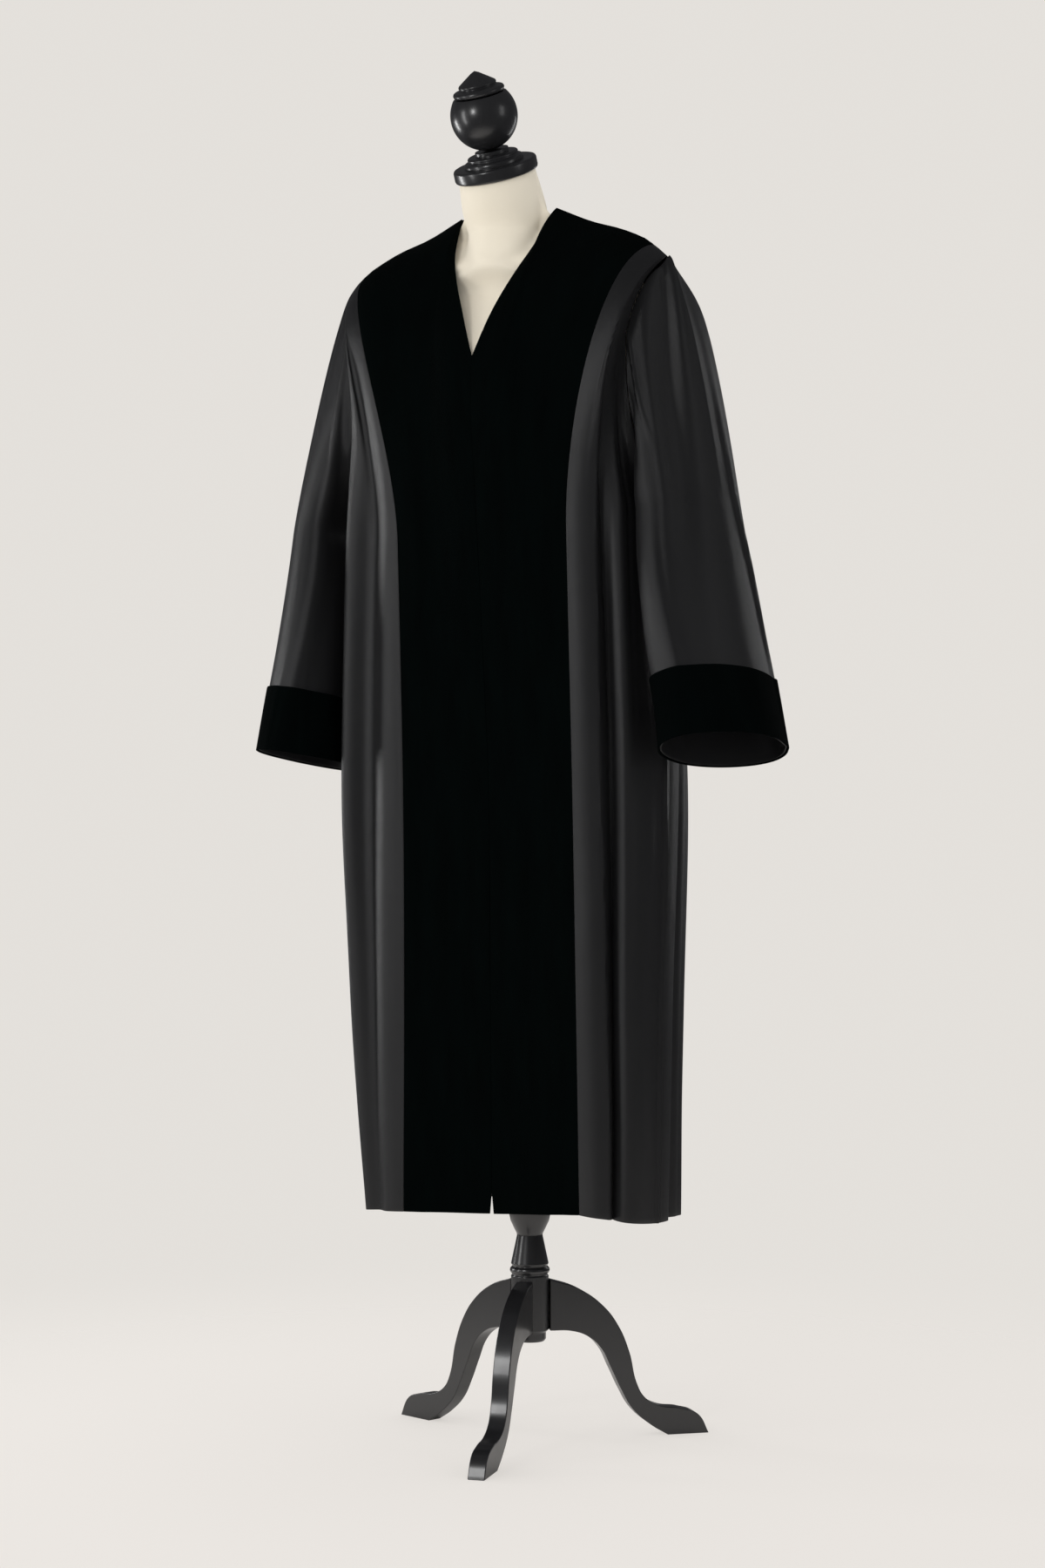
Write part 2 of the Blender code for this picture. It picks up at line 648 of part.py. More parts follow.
def neck_cap(finish, parent):
    """The turned cap on the neck: plate, steps, ball, ring and pointed cone, on the neck's leaning axis."""
    height, centre, _, lean = NECK[-1][0], NECK[-1][1], NECK[-1][2], math.radians(NECK[-1][3])
    mount = bpy.data.objects.new("neck_axis", None)
    mount.parent = parent
    mount.location = (0, centre, height)
    mount.rotation_euler = (lean, 0, 0)
    bpy.data.collections["judge_robe"].objects.link(mount)
    gap = SEAM_GAP
    plate_top, step_top, neck_top = 0.0155, 0.0230, 0.0315
    plate = [(0, neck_top), (0.0200, neck_top), (0.0200, step_top + 0.004)]
    plate += arc((0.0300, step_top), 0.0040, 90, 0, 3) + [(0.0370, step_top - 0.003)]
    plate += [(0.0375, plate_top), (0.0510, plate_top)]
    plate += arc((0.0500, plate_top - 0.0030), 0.0030, 75, 0, 3)
    plate += arc((0.0500, 0.0035), 0.0030, 0, -75, 3) + [(0, gap)]
    turned("neck_plate", plate, finish, mount)
    ball_centre, ball_radius = 0.0718, 0.0404
    low = math.degrees(math.asin((neck_top + gap - ball_centre) / ball_radius))
    ball_top = 0.0965
    high = math.degrees(math.asin((ball_top - ball_centre) / ball_radius))
    ball = [(0, ball_top)] + arc((0, ball_centre), ball_radius, high, low, 14) + [(0, neck_top + gap)]
    turned("neck_ball", ball, finish, mount)
    point = [(0, 0.1250), (0.0060, 0.1220), (0.0160, 0.1155), (0.0240, 0.1105), (0.0250, 0.1085)]
    point += [(0.0250, 0.1055), (0.0300, 0.1045)]
    point += arc((0.0318, 0.1007), 0.0037, 80, -80, 5) + [(0, ball_top + gap)]
    turned("neck_finial", point, finish, mount)


def column(finish, parent):
    """The pole and the turned column, in one piece down to the boss under the legs."""
    top = TORSO[0][0] - SEAM_GAP
    profile = [(0, top), (0.0450, top), (0.0450, top - 0.010), (0.0140, top - 0.014), (0.0140, 0.345)]
    profile += [(0.0165, 0.340), (0.0165, 0.333), (0.0150, 0.330)]
    profile += [(0.0205, 0.318), (0.0250, 0.302), (0.0262, 0.288), (0.0245, 0.275), (0.0195, 0.262)]
    profile += [(0.0162, 0.2555), (0.0158, 0.2530), (0.0232, 0.2185), (0.0215, 0.2155)]
    profile += arc((0.0205, 0.2105), 0.0042, 80, -80, 5)
    profile += [(0.0218, 0.2050), (0.0232, 0.2035), (0.0232, 0.1370), (0.0200, 0.1340)]
    profile += [(0.0200, 0.1260), (0.0180, 0.1230), (0, 0.1230)]
    turned("stand_column", profile, finish, parent)


def leg(name, angle, finish, parent):
    """A flat cabriole leg: one outline, sawn from a board, with its edges eased."""
    outline = bpy.data.curves.new(name, "CURVE")
    outline.dimensions = "2D"
    outline.fill_mode = "BOTH"
    outline.extrude = LEG_BOARD / 2
    outline.resolution_u = 3
    spline = outline.splines.new("BEZIER")
    spline.bezier_points.add(len(LEG_OUTLINE) - 1)
    spline.use_cyclic_u = True
    for point, (reach, height, corner) in zip(spline.bezier_points, LEG_OUTLINE):
        point.co = (reach + 0.001, height, 0)
        point.handle_left_type = point.handle_right_type = "VECTOR" if corner else "AUTO"
    made = add_object(name, outline, finish, parent)
    made.matrix_local = Matrix.Rotation(angle, 4, "Z") @ Matrix.Rotation(math.pi / 2, 4, "X")
    weld = made.modifiers.new("close", "WELD")
    weld.merge_threshold = 0.00001
    ease = made.modifiers.new("ease", "BEVEL")
    ease.width = 0.0018
    ease.segments = 1
    ease.angle_limit = math.radians(50)
    return made


def main():
    for old in list(bpy.data.objects):
        bpy.data.objects.remove(old, do_unlink=True)
    parts = bpy.data.collections.new("judge_robe")
    bpy.context.scene.collection.children.link(parts)
    pole = bpy.data.objects.new("pole_axis", None)
    pole.location = (0, POLE_Y, 0)
    parts.objects.link(pole)
    finishes = {
        "wool": material("black_wool", (0.013, 0.013, 0.014), 0.75),
        "velvet": material("black_velvet", (0.002, 0.003, 0.003), 0.95),
    }
    linen = material("cream_linen", (0.76, 0.70, 0.58), 0.85)
    lacquer = material("black_lacquer", (0.012, 0.012, 0.014), 0.28)
    robe(finishes, pole)
    dress_form(linen, pole)
    neck_cap(lacquer, pole)
    column(lacquer, pole)
    for i, name in enumerate(("leg_front", "leg_left", "leg_right")):
        leg(name, LEG_AT + i * math.radians(120), lacquer, pole)


main()
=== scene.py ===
import math

import bpy
import numpy as np
from mathutils import Matrix, Vector, noise


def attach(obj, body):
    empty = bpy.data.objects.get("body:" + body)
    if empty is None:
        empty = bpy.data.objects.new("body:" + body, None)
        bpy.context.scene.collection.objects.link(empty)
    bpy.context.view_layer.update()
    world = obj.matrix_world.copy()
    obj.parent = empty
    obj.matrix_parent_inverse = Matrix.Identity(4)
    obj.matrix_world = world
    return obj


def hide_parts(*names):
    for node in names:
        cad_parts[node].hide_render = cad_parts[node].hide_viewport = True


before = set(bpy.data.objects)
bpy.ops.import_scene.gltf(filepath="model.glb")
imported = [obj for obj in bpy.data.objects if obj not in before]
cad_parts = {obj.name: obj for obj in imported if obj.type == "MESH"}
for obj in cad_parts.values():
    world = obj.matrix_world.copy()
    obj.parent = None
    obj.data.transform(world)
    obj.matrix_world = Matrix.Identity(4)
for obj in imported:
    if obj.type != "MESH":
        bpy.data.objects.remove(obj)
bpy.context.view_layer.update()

bl_info = {
    "name": "Judge's robe on a dress form",
    "version": (1, 0, 0),
    "blender": (4, 5, 0),
    "location": "3D View > Sidebar > Robe",
    "description": "Builds a court robe with velvet bands on a covered form with a turned stand",
    "category": "Object",
}

POLE_Y = 0.035  # the pole's place; every table below is measured from the pole
SIDES = ("left", "right")  # the wearer's
TURN = 2 * math.pi

# ---------------------------------------- the robe's sizes

HEM = 0.290
CHEST = 1.100  # above this height the threads leave the level sections
EDGE_TRIM = 0.00025  # how far each panel stops short of a seam
FRONT_TRIM = 0.00012  # the same at the centre front
RIDGE_TRIM = 0.00100  # the same along shoulder, neck and armhole

# One half of a level section through the skirt. front: the front edge's place in y; seam_x, seam_y:
# the seam from velvet to wool; left, right: half widths; side: the side seam's y; back: the back's y.
SKIRT = (
    # height  front   seam_x  seam_y   left   right   side    back
    (HEM, -0.098, 0.1200, -0.103, 0.184, 0.194, -0.015, 0.128),
    (0.55, -0.101, 0.1170, -0.106, 0.190, 0.213, -0.015, 0.130),
    (0.83, -0.108, 0.1150, -0.113, 0.196, 0.224, -0.013, 0.128),
    (1.00, -0.124, 0.1145, -0.121, 0.190, 0.218, -0.010, 0.122),
    (CHEST, -0.134, 0.1145, -0.126, 0.185, 0.212, -0.005, 0.120),
)
FRONT_CORNER = 0.82  # how square a section's corners are
BACK_CORNER = 0.70
# How far each front's hem hangs above the level one, at the velvet's seam and at the side seam.
HEM_LIFT = {"left": (0.006, -0.009), "right": (-0.004, -0.009)}

NECKLINE = (
    # x       y       z
    (0.0000, -0.1480, 1.312),
    (0.0214, -0.1320, 1.371),
    (0.0400, -0.1130, 1.414),
    (0.0530, -0.0930, 1.446),
    (0.0600, -0.0740, 1.472),
    (0.0650, -0.0530, 1.500),
)
SHOULDER = (
    # x       y       z
    (0.0650, -0.0530, 1.5000),
    (0.1100, -0.0550, 1.4790),
    (0.1590, -0.0580, 1.4620),
    (0.1950, -0.0620, 1.4430),
    (0.2180, -0.0670, 1.4240),
)
RIGHT_SHOULDER_IN = (0, 0, 0.001, 0.005, 0.010)  # how much nearer the middle the right one's points are
BACK_NECK = ((0.0000, 0.0060, 1.5000), (0.0400, -0.0060, 1.5010), (0.0650, -0.0530, 1.5000))
SEAM_ON_SHOULDER = 0.85  # the velvet's share of the shoulder seam
NECK_THREAD = 0.55  # the share of the velvet's width that ends on the neckline
SHOULDER_THREAD = 0.14  # the share of the wool front's width that ends on the shoulder seam
# The shares of the back's width, from a side seam, at which its threads pass from armhole to shoulder
# seam and from there to the neck.
BACK_ARMHOLE, BACK_SHOULDER = 0.17, 0.38
# Which way the threads point where they end: share of the panel's width, then x, y and z.
VELVET_WAYS = ((0, 0, 0.10, 1), (NECK_THREAD, 0.1, 1, 0.75), (1, 0.12, 1, 0.25))
FRONT_WAYS = (
    (0, 0.12, 1, 0.25),
    (SHOULDER_THREAD, 0.15, 1, 0.35),
    (0.45, 0.25, 0.12, 1),
    (1, 0.05, 0.0, 1),
)
BACK_WAYS = (
    (0, 0.05, 0.0, 1),
    (0.10, 0.2, -0.15, 1),
    (BACK_ARMHOLE, 0.1, -1, 0.35),
    (BACK_SHOULDER, 0.05, -1, 0.45),
    (0.5, 0, -0.45, 1),
)

ARMHOLE = (
    # turn  left    right   y       z
    (0.00, 0.2180, 0.2080, -0.067, 1.424),
    (0.08, 0.2010, 0.1990, -0.091, 1.394),
    (0.17, 0.1840, 0.1920, -0.102, 1.345),
    (0.25, 0.1810, 0.1930, -0.103, 1.300),
    (0.36, 0.1840, 0.1970, -0.088, 1.225),
    (0.44, 0.1890, 0.2010, -0.046, 1.180),
    (0.50, 0.1910, 0.2010, 0.000, 1.167),
    (0.57, 0.1910, 0.1990, 0.045, 1.190),
    (0.66, 0.1880, 0.1940, 0.078, 1.250),
    (0.76, 0.1920, 0.1940, 0.080, 1.320),
    (0.88, 0.2060, 0.2000, 0.032, 1.385),
    (1.00, 0.2180, 0.2080, -0.067, 1.424),
)
SLEEVE = (
    # height centre_x centre_y deep   wide
    (1.130, 0.2320, -0.025, 0.0840, 0.0400),
    (1.079, 0.2400, -0.029, 0.0890, 0.0430),
    (0.990, 0.2560, -0.037, 0.0970, 0.0480),
    (0.926, 0.2690, -0.043, 0.1010, 0.0520),
    (0.850, 0.2830, -0.050, 0.1050, 0.0580),
)
SLEEVE_TURN = math.radians(10)  # how far the sleeve's oval is turned about its line
SLEEVE_CORNER = 1.85  # the oval's power: 2 is an ellipse, and less is fuller at its ends
# Each arm: its line out and forward in degrees, its shift outwards at the top and at the rim, and up.
ARMS = {"left": (14, 8, 0.004, 0.000, -0.007), "right": (7, 6, 0.040, 0.005, -0.010)}
CUFF_DEPTH = 0.080
CUFF_EASE = 0.0005  # the cuff's room over the sleeve beyond the seam gap
RIM_TRIM = 0.0020  # how far the wool stops short of the cuff's lower edge

# The threads above the chest: how far below it their rise is read, and their handles' shares of length.
RISE_READ, CHEST_HANDLE, TOP_HANDLE = 0.03, 0.36, 0.34
# The sleeve's head, at the underarm and at the top: its way from the armhole, and how far outside the
# armhole it starts, in thicknesses of the wool. Then its handles' shares of length.
HEAD_WAY = np.array(((0.25, 0, -1.0), (1.0, 0, -0.35)))
HEAD_OFF_UNDER, HEAD_OFF_TOP = 0.45, 1.45
ARMHOLE_HANDLE, ARM_HANDLE = 0.10, 0.22

# Threads between a panel's corners, and rows of each loft.
VELVET_THREADS, FRONT_THREADS, HALF_BACK_THREADS, SLEEVE_THREADS = (14, 10), (10, 52), (30, 24, 12), 132
SKIRT_ROWS, YOKE_ROWS = 120, 80
HEAD_ROWS, ARM_ROWS, CUFF_ROWS = 60, 60, 20

# ---------------------------------------- curves and sections


def smooth(keys, values, at):
    """The cubic curve through the values at these keys, read at each of at."""
    keys, values, at = (np.asarray(a, float) for a in (keys, values, at))
    slopes = np.gradient(values, keys, axis=0)
    i = np.clip(np.searchsorted(keys, at, side="right") - 1, 0, len(keys) - 2)
    span = keys[i + 1] - keys[i]
    t = (at - keys[i]) / span
    if values.ndim > 1:
        t, span = t[..., None], span[..., None]
    rise, fall = slopes[i] * span, slopes[i + 1] * span
    first = values[i] * (2 * t**3 - 3 * t**2 + 1) + rise * (t**3 - 2 * t**2 + t)
    return first + values[i + 1] * (3 * t**2 - 2 * t**3) + fall * (t**3 - t**2)


def read(table, at):
    """A table's other columns, read smoothly at these values of its first."""
    table = np.asarray(table, float)
    return smooth(table[:, 0], table[:, 1:], at)


def between(value, low, high):
    """How far a value is from low to high, held within 0 and 1."""
    return np.clip((value - low) / (high - low), 0, 1)


def along(points, share):
    """Points at these shares of the length of a smooth curve through the given points."""
    points = np.asarray(points, float)
    reach = np.concatenate([[0], np.cumsum(np.linalg.norm(np.diff(points, axis=0), axis=1))])
    return smooth(reach / reach[-1], points, share)


def bezier(start, start_handle, end_handle, end, t):
    """The Bezier curve at t, which is one number or one for each point."""
    t = np.asarray(t, float)[..., None]
    near = (1 - t) ** 3 * start + 3 * (1 - t) ** 2 * t * start_handle
    return near + 3 * (1 - t) * t**2 * end_handle + t**3 * end


def thread_places(corners, counts):
    """Shares of a panel's width with a thread at each corner and the counted threads between."""
    spans = zip(corners, corners[1:], counts)
    places = [np.linspace(low, high, count + 1)[:-1] for low, high, count in spans]
    return np.append(np.concatenate(places), corners[-1])


def unit(vectors):
    vectors = np.asarray(vectors, float)
    return vectors / np.linalg.norm(vectors, axis=-1, keepdims=True)


def normals(grid, closed):
    """The surface's normals at a grid's points, pointing away from the pole."""
    if closed:
        ring = grid[:, :-1]
        across = np.roll(ring, -1, axis=1) - np.roll(ring, 1, axis=1)
        across = np.concatenate([across, across[:, :1]], axis=1)
    else:
        across = np.gradient(grid, axis=1)
    return unit(np.cross(across, np.gradient(grid, axis=0)))


def trim(grid, last_row=0.0, first_thread=0.0, last_thread=0.0):
    """Draws a grid's edges in along its own rows and threads by the given lengths."""
    grid = grid.copy()
    grid[-1] += unit(grid[-2] - grid[-1]) * last_row
    grid[:, 0] += unit(grid[:, 1] - grid[:, 0]) * first_thread
    grid[:, -1] += unit(grid[:, -2] - grid[:, -1]) * last_thread
    return grid


def velvet_section(height, shares):
    """A level section of the velvet front, from the front edge out to its seam."""
    front, seam_x, seam_y, *_ = read(SKIRT, height)
    y = front + (seam_y - front) * shares**2
    return np.stack([seam_x * shares, y, np.full_like(shares, height)], axis=-1)


def front_section(height, shares, half_width):
    """A level section of the wool front, from the velvet's seam round to the side seam."""
    front, seam_x, seam_y, _, _, side, _ = read(SKIRT, height)
    slope = 2 * (seam_y - front) / seam_x
    reach = FRONT_CORNER * (half_width - seam_x)
    start = np.array([seam_x, seam_y, height])
    end = np.array([half_width, side, height])
    start_handle = start + np.array([reach, slope * reach * 0.5, 0])
    end_handle = end - np.array([0, FRONT_CORNER * (side - seam_y), 0])
    return bezier(start, start_handle, end_handle, end, shares)


def back_section(height, shares):
    """A level section of the back, from the wearer's left side seam round to the right one."""
    _, _, _, left, right, side, back = read(SKIRT, height)
    middle = np.array([0, back, height])
    halves = []
    for half_width in (left, right):
        end = np.array([half_width, side, height])
        end_handle = end + np.array([0, BACK_CORNER * (back - side), 0])
        middle_handle = middle + np.array([BACK_CORNER * half_width, 0, 0])
        halves.append((end, end_handle, middle_handle, middle))
    left_half = bezier(*halves[0], np.clip(shares * 2, 0, 1))
    right_half = bezier(*halves[1], np.clip(2 - shares * 2, 0, 1))
    right_half[:, 0] *= -1
    return np.where(shares[:, None] <= 0.5, left_half, right_half)


def armhole(turns, side):
    return read(ARMHOLE, turns)[:, [SIDES.index(side), 2, 3]]


def shoulder_seam(shares, side):
    seam = np.array(SHOULDER)
    if side == "right":
        seam[:, 0] -= RIGHT_SHOULDER_IN
    return along(seam, shares)


def velvet_top(shares, side):
    """Where the velvet's threads end, and the way that they point there."""
    neck = along(NECKLINE, between(shares, 0, NECK_THREAD))
    shoulder = shoulder_seam(between(shares, NECK_THREAD, 1) * SEAM_ON_SHOULDER, side)
    ends = np.where((shares <= NECK_THREAD)[:, None], neck, shoulder)
    return ends, unit(read(VELVET_WAYS, shares))


def front_top(shares, side):
    """Where the wool front's threads end: first on the shoulder, then down the armhole."""
    on_shoulder = SEAM_ON_SHOULDER + (1 - SEAM_ON_SHOULDER) * between(shares, 0, SHOULDER_THREAD)
    turns = 0.5 * between(shares, SHOULDER_THREAD, 1)
    on_ridge = (shares <= SHOULDER_THREAD)[:, None]
    ends = np.where(on_ridge, shoulder_seam(on_shoulder, side), armhole(turns, side))
    return ends, unit(read(FRONT_WAYS, shares))


def half_back_top(shares, side):
    """Where the threads of one half of the back end: armhole, shoulder, neck."""
    turns = 0.5 + 0.5 * between(shares, 0, BACK_ARMHOLE)
    on_shoulder = 1 - between(shares, BACK_ARMHOLE, BACK_SHOULDER)
    on_neck = 1 - between(shares, BACK_SHOULDER, 0.5)
    on_ridge = (shares <= BACK_SHOULDER)[:, None]
    upper = np.where(on_ridge, shoulder_seam(on_shoulder, side), along(BACK_NECK, on_neck))
    ends = np.where((shares <= BACK_ARMHOLE)[:, None], armhole(turns, side), upper)
    return ends, unit(read(BACK_WAYS, shares))


def back_top(shares):
    """Where all of the back's threads end, from the wearer's left side seam to the right one."""
    left_ends, left_ways = half_back_top(np.minimum(shares, 0.5), "left")
    right_ends, right_ways = half_back_top(np.minimum(1 - shares, 0.5), "right")
    on_left = (shares <= 0.5)[:, None]
    other_way = (-1, 1, 1)
    ends = np.where(on_left, left_ends, right_ends * other_way)
    return ends, np.where(on_left, left_ways, right_ways * other_way)


def panel(section, top, shares):
    """A body panel's grid: level rows up to the chest, then threads that bend to their ends."""
    rows = [section(height, shares) for height in np.linspace(HEM, CHEST, SKIRT_ROWS + 1)]
    start = rows[-1]
    rise = unit(start - section(CHEST - RISE_READ, shares))
    ends, ways = top(shares)
    length = np.linalg.norm(ends - start, axis=-1, keepdims=True)
    handles = start + rise * length * CHEST_HANDLE, ends - ways * length * TOP_HANDLE
    for t in np.linspace(0, 1, YOKE_ROWS + 1)[1:]:
        rows.append(bezier(start, *handles, ends, t))
    return np.array(rows)


def body_places():
    """Each row's place in a fold table: hem 0, chest 1, top 2."""
    return np.concatenate([np.linspace(0, 1, SKIRT_ROWS + 1), np.linspace(1, 2, YOKE_ROWS + 1)[1:]])


def hang(grid, shares, lift_first, lift_last):
    """Lifts the hem by one amount at the first thread and another at the last, fading out above."""
    grid = grid.copy()
    lifts = lift_first + (lift_last - lift_first) * shares
    fade = np.clip(1 - body_places(), 0, 1) ** 2
    grid[:, :, 2] += fade[:, None] * lifts[None, :]
    return grid


def sleeve_line(side):
    out, forward = (math.tan(math.radians(angle)) for angle in ARMS[side][:2])
    return unit([out, -forward, -1])


def sleeve_ring(side, height, turns):
    """An oval section of the sleeve, square to its line. Turn 0 is outside, 0.25 in front."""
    centre_x, centre_y, deep, wide = read(SLEEVE[::-1], height)
    line = sleeve_line(side)
    ahead = unit(np.cross(line, [1, 0, 0]))
    ahead = ahead if ahead[1] < 0 else -ahead
    out = unit(np.cross(ahead, line))
    out = out if out[0] > 0 else -out
    angles = np.asarray(turns) * TURN
    power = 2 / SLEEVE_CORNER
    across = np.sign(np.cos(angles)) * np.abs(np.cos(angles)) ** power * wide
    reach = np.sign(np.sin(angles)) * np.abs(np.sin(angles)) ** power * deep
    turned_out = math.cos(SLEEVE_TURN) * out + math.sin(SLEEVE_TURN) * ahead
    turned_ahead = math.cos(SLEEVE_TURN) * ahead - math.sin(SLEEVE_TURN) * out
    first_shift, last_shift, up = ARMS[side][2:]
    shift = np.interp(height, (SLEEVE[-1][0], SLEEVE[0][0]), (last_shift, first_shift))
    centre = np.array([centre_x + shift, centre_y, height + up])
    return centre + across[:, None] * turned_out + reach[:, None] * turned_ahead


def sleeve_grid(side, turns):
    """The sleeve from the armhole down to the rim, before its folds."""
    start = armhole(turns, side)
    outward = 0.5 + 0.5 * np.cos(turns * TURN)
    under, top = HEAD_WAY
    ways = unit(under + (top - under) * outward[:, None])
    off = HEAD_OFF_UNDER + (HEAD_OFF_TOP - HEAD_OFF_UNDER) * outward**2
    start[:, 0] += sizes().seam_gap + sizes().wool * off
    first, last = SLEEVE[0][0], SLEEVE[-1][0]
    end = sleeve_ring(side, first, turns)
    length = np.linalg.norm(end - start, axis=-1, keepdims=True)
    handles = start + ways * length * ARMHOLE_HANDLE, end - sleeve_line(side) * length * ARM_HANDLE
    head, arm = np.linspace(0, 1, HEAD_ROWS + 1), np.linspace(first, last, ARM_ROWS + 1)
    rows = [bezier(start, *handles, end, t) for t in head]
    return np.array(rows + [sleeve_ring(side, height, turns) for height in arm[1:]])


def sleeve_places():
    """Each row's place in a sleeve's fold table: rim 0, end of the head 1, armhole 2."""
    return np.concatenate([np.linspace(2, 1, HEAD_ROWS + 1), np.linspace(1, 0, ARM_ROWS + 1)[1:]])


def mirrored(grid):
    """The grid of the same piece on the wearer's right."""
    return (grid * (-1, 1, 1))[:, ::-1]


# ---------------------------------------- folds

# A fold is (its reach before, its reach after, its keys). Each key is (place, share of the width, push),
# and the push is outwards, in millimetres. Places run from 0 at the hem through 1 at the chest to 2 at
# the top, or in a sleeve from the rim through the end of its head to the armhole.
WOOL_FRONT_FOLDS = {
    "left": (
        (0.26, 0.3, ((0, 0.36, -6), (0.3, 0.315, -7), (0.6, 0.28, -7), (0.9, 0.31, -6), (1.2, 0.34, -4),
            (1.5, 0.3, 0))),
        (0.075, 0.19, ((0, 0.37, -12), (0.15, 0.365, -19), (0.3, 0.32, -20), (0.6, 0.275, -18),
            (0.9, 0.31, -14), (1.2, 0.345, -9), (1.4, 0.35, -5), (1.6, 0.27, -2), (1.75, 0.12, 0))),
        (0.045, 0.05, ((0.6, 0.53, 0), (0.9, 0.52, 1), (1.15, 0.54, 2), (1.4, 0.5, 1.2), (1.6, 0.47, 0))),
        (0.035, 0.06, ((0.6, 0.6, 0), (0.9, 0.6, -1), (1.15, 0.63, -2), (1.5, 0.6, -2), (1.8, 0.5, 0))),
        (0.45, 0.13, ((1.2, 0.7, 0), (1.45, 0.71, -5), (1.7, 0.74, -7), (1.88, 0.74, -4), (2, 0.74, 0))),
        (0.03, 0.02, ((0, 0.955, 3), (0.5, 0.95, 4), (0.8, 0.93, 3), (1.1, 0.93, 0))),
    ),
    "right": (
        (0.175, 0.2, ((0, 0.3, -8), (0.3, 0.29, -11), (0.6, 0.27, -13), (0.9, 0.245, -14),
            (1.2, 0.205, -13), (1.45, 0.175, -8), (1.7, 0.14, 0))),
        (0.08, 0.1, ((0, 0.1, 0.5), (0.4, 0.09, 0.8), (0.7, 0.08, 2), (1, 0.07, 1), (1.3, 0.06, 0))),
        (0.16, 0.08, ((0, 0.52, 2), (0.3, 0.5, 7), (0.6, 0.48, 9), (1, 0.46, 10), (1.35, 0.44, 9),
            (1.7, 0.38, 4), (1.9, 0.3, 0))),
        (0.07, 0.09, ((0, 0.72, -7), (0.5, 0.73, -8), (1, 0.72, -6), (1.4, 0.7, 0))),
        (0.03, 0.02, ((0, 0.955, 3), (0.5, 0.95, 3.5), (1.1, 0.93, 0))),
    ),
}
BACK_FOLDS = (
    (0.05, 0.04, ((0, 0.085, -9), (0.6, 0.09, -7), (1, 0.1, -4), (1.5, 0.12, 0))),
    (0.045, 0.05, ((0, 0.165, 7), (0.6, 0.17, 6), (1.1, 0.17, 3), (1.6, 0.18, 0))),
    (0.035, 0.075, ((0, 0.245, -13), (0.5, 0.25, -12), (1, 0.27, -8), (1.5, 0.3, -2), (1.7, 0.3, 0))),
    (0.045, 0.045, ((0, 0.365, 8), (0.6, 0.37, 6), (1.2, 0.37, 3), (1.6, 0.38, 0))),
    (0.06, 0.04, ((0, 0.455, -10), (0.5, 0.45, -10), (1, 0.44, -6), (1.4, 0.44, 0))),
    (0.04, 0.05, ((0, 0.525, 7), (0.6, 0.53, 5), (1.2, 0.53, 3), (1.6, 0.52, 0))),
    (0.035, 0.07, ((0, 0.59, -12), (0.6, 0.6, -11), (1.1, 0.61, -6), (1.6, 0.6, 0))),
    (0.05, 0.04, ((0, 0.7, 9), (0.6, 0.7, 7), (1.2, 0.69, 3), (1.6, 0.67, 0))),
    (0.07, 0.035, ((0, 0.79, -13), (0.5, 0.785, -12), (1, 0.77, -8), (1.5, 0.73, 0))),
    (0.04, 0.045, ((0, 0.87, 6), (0.6, 0.86, 5), (1.2, 0.86, 2), (1.5, 0.86, 0))),
    (0.03, 0.035, ((0, 0.935, -7), (0.6, 0.93, -6), (1, 0.92, -3), (1.3, 0.91, 0))),
)
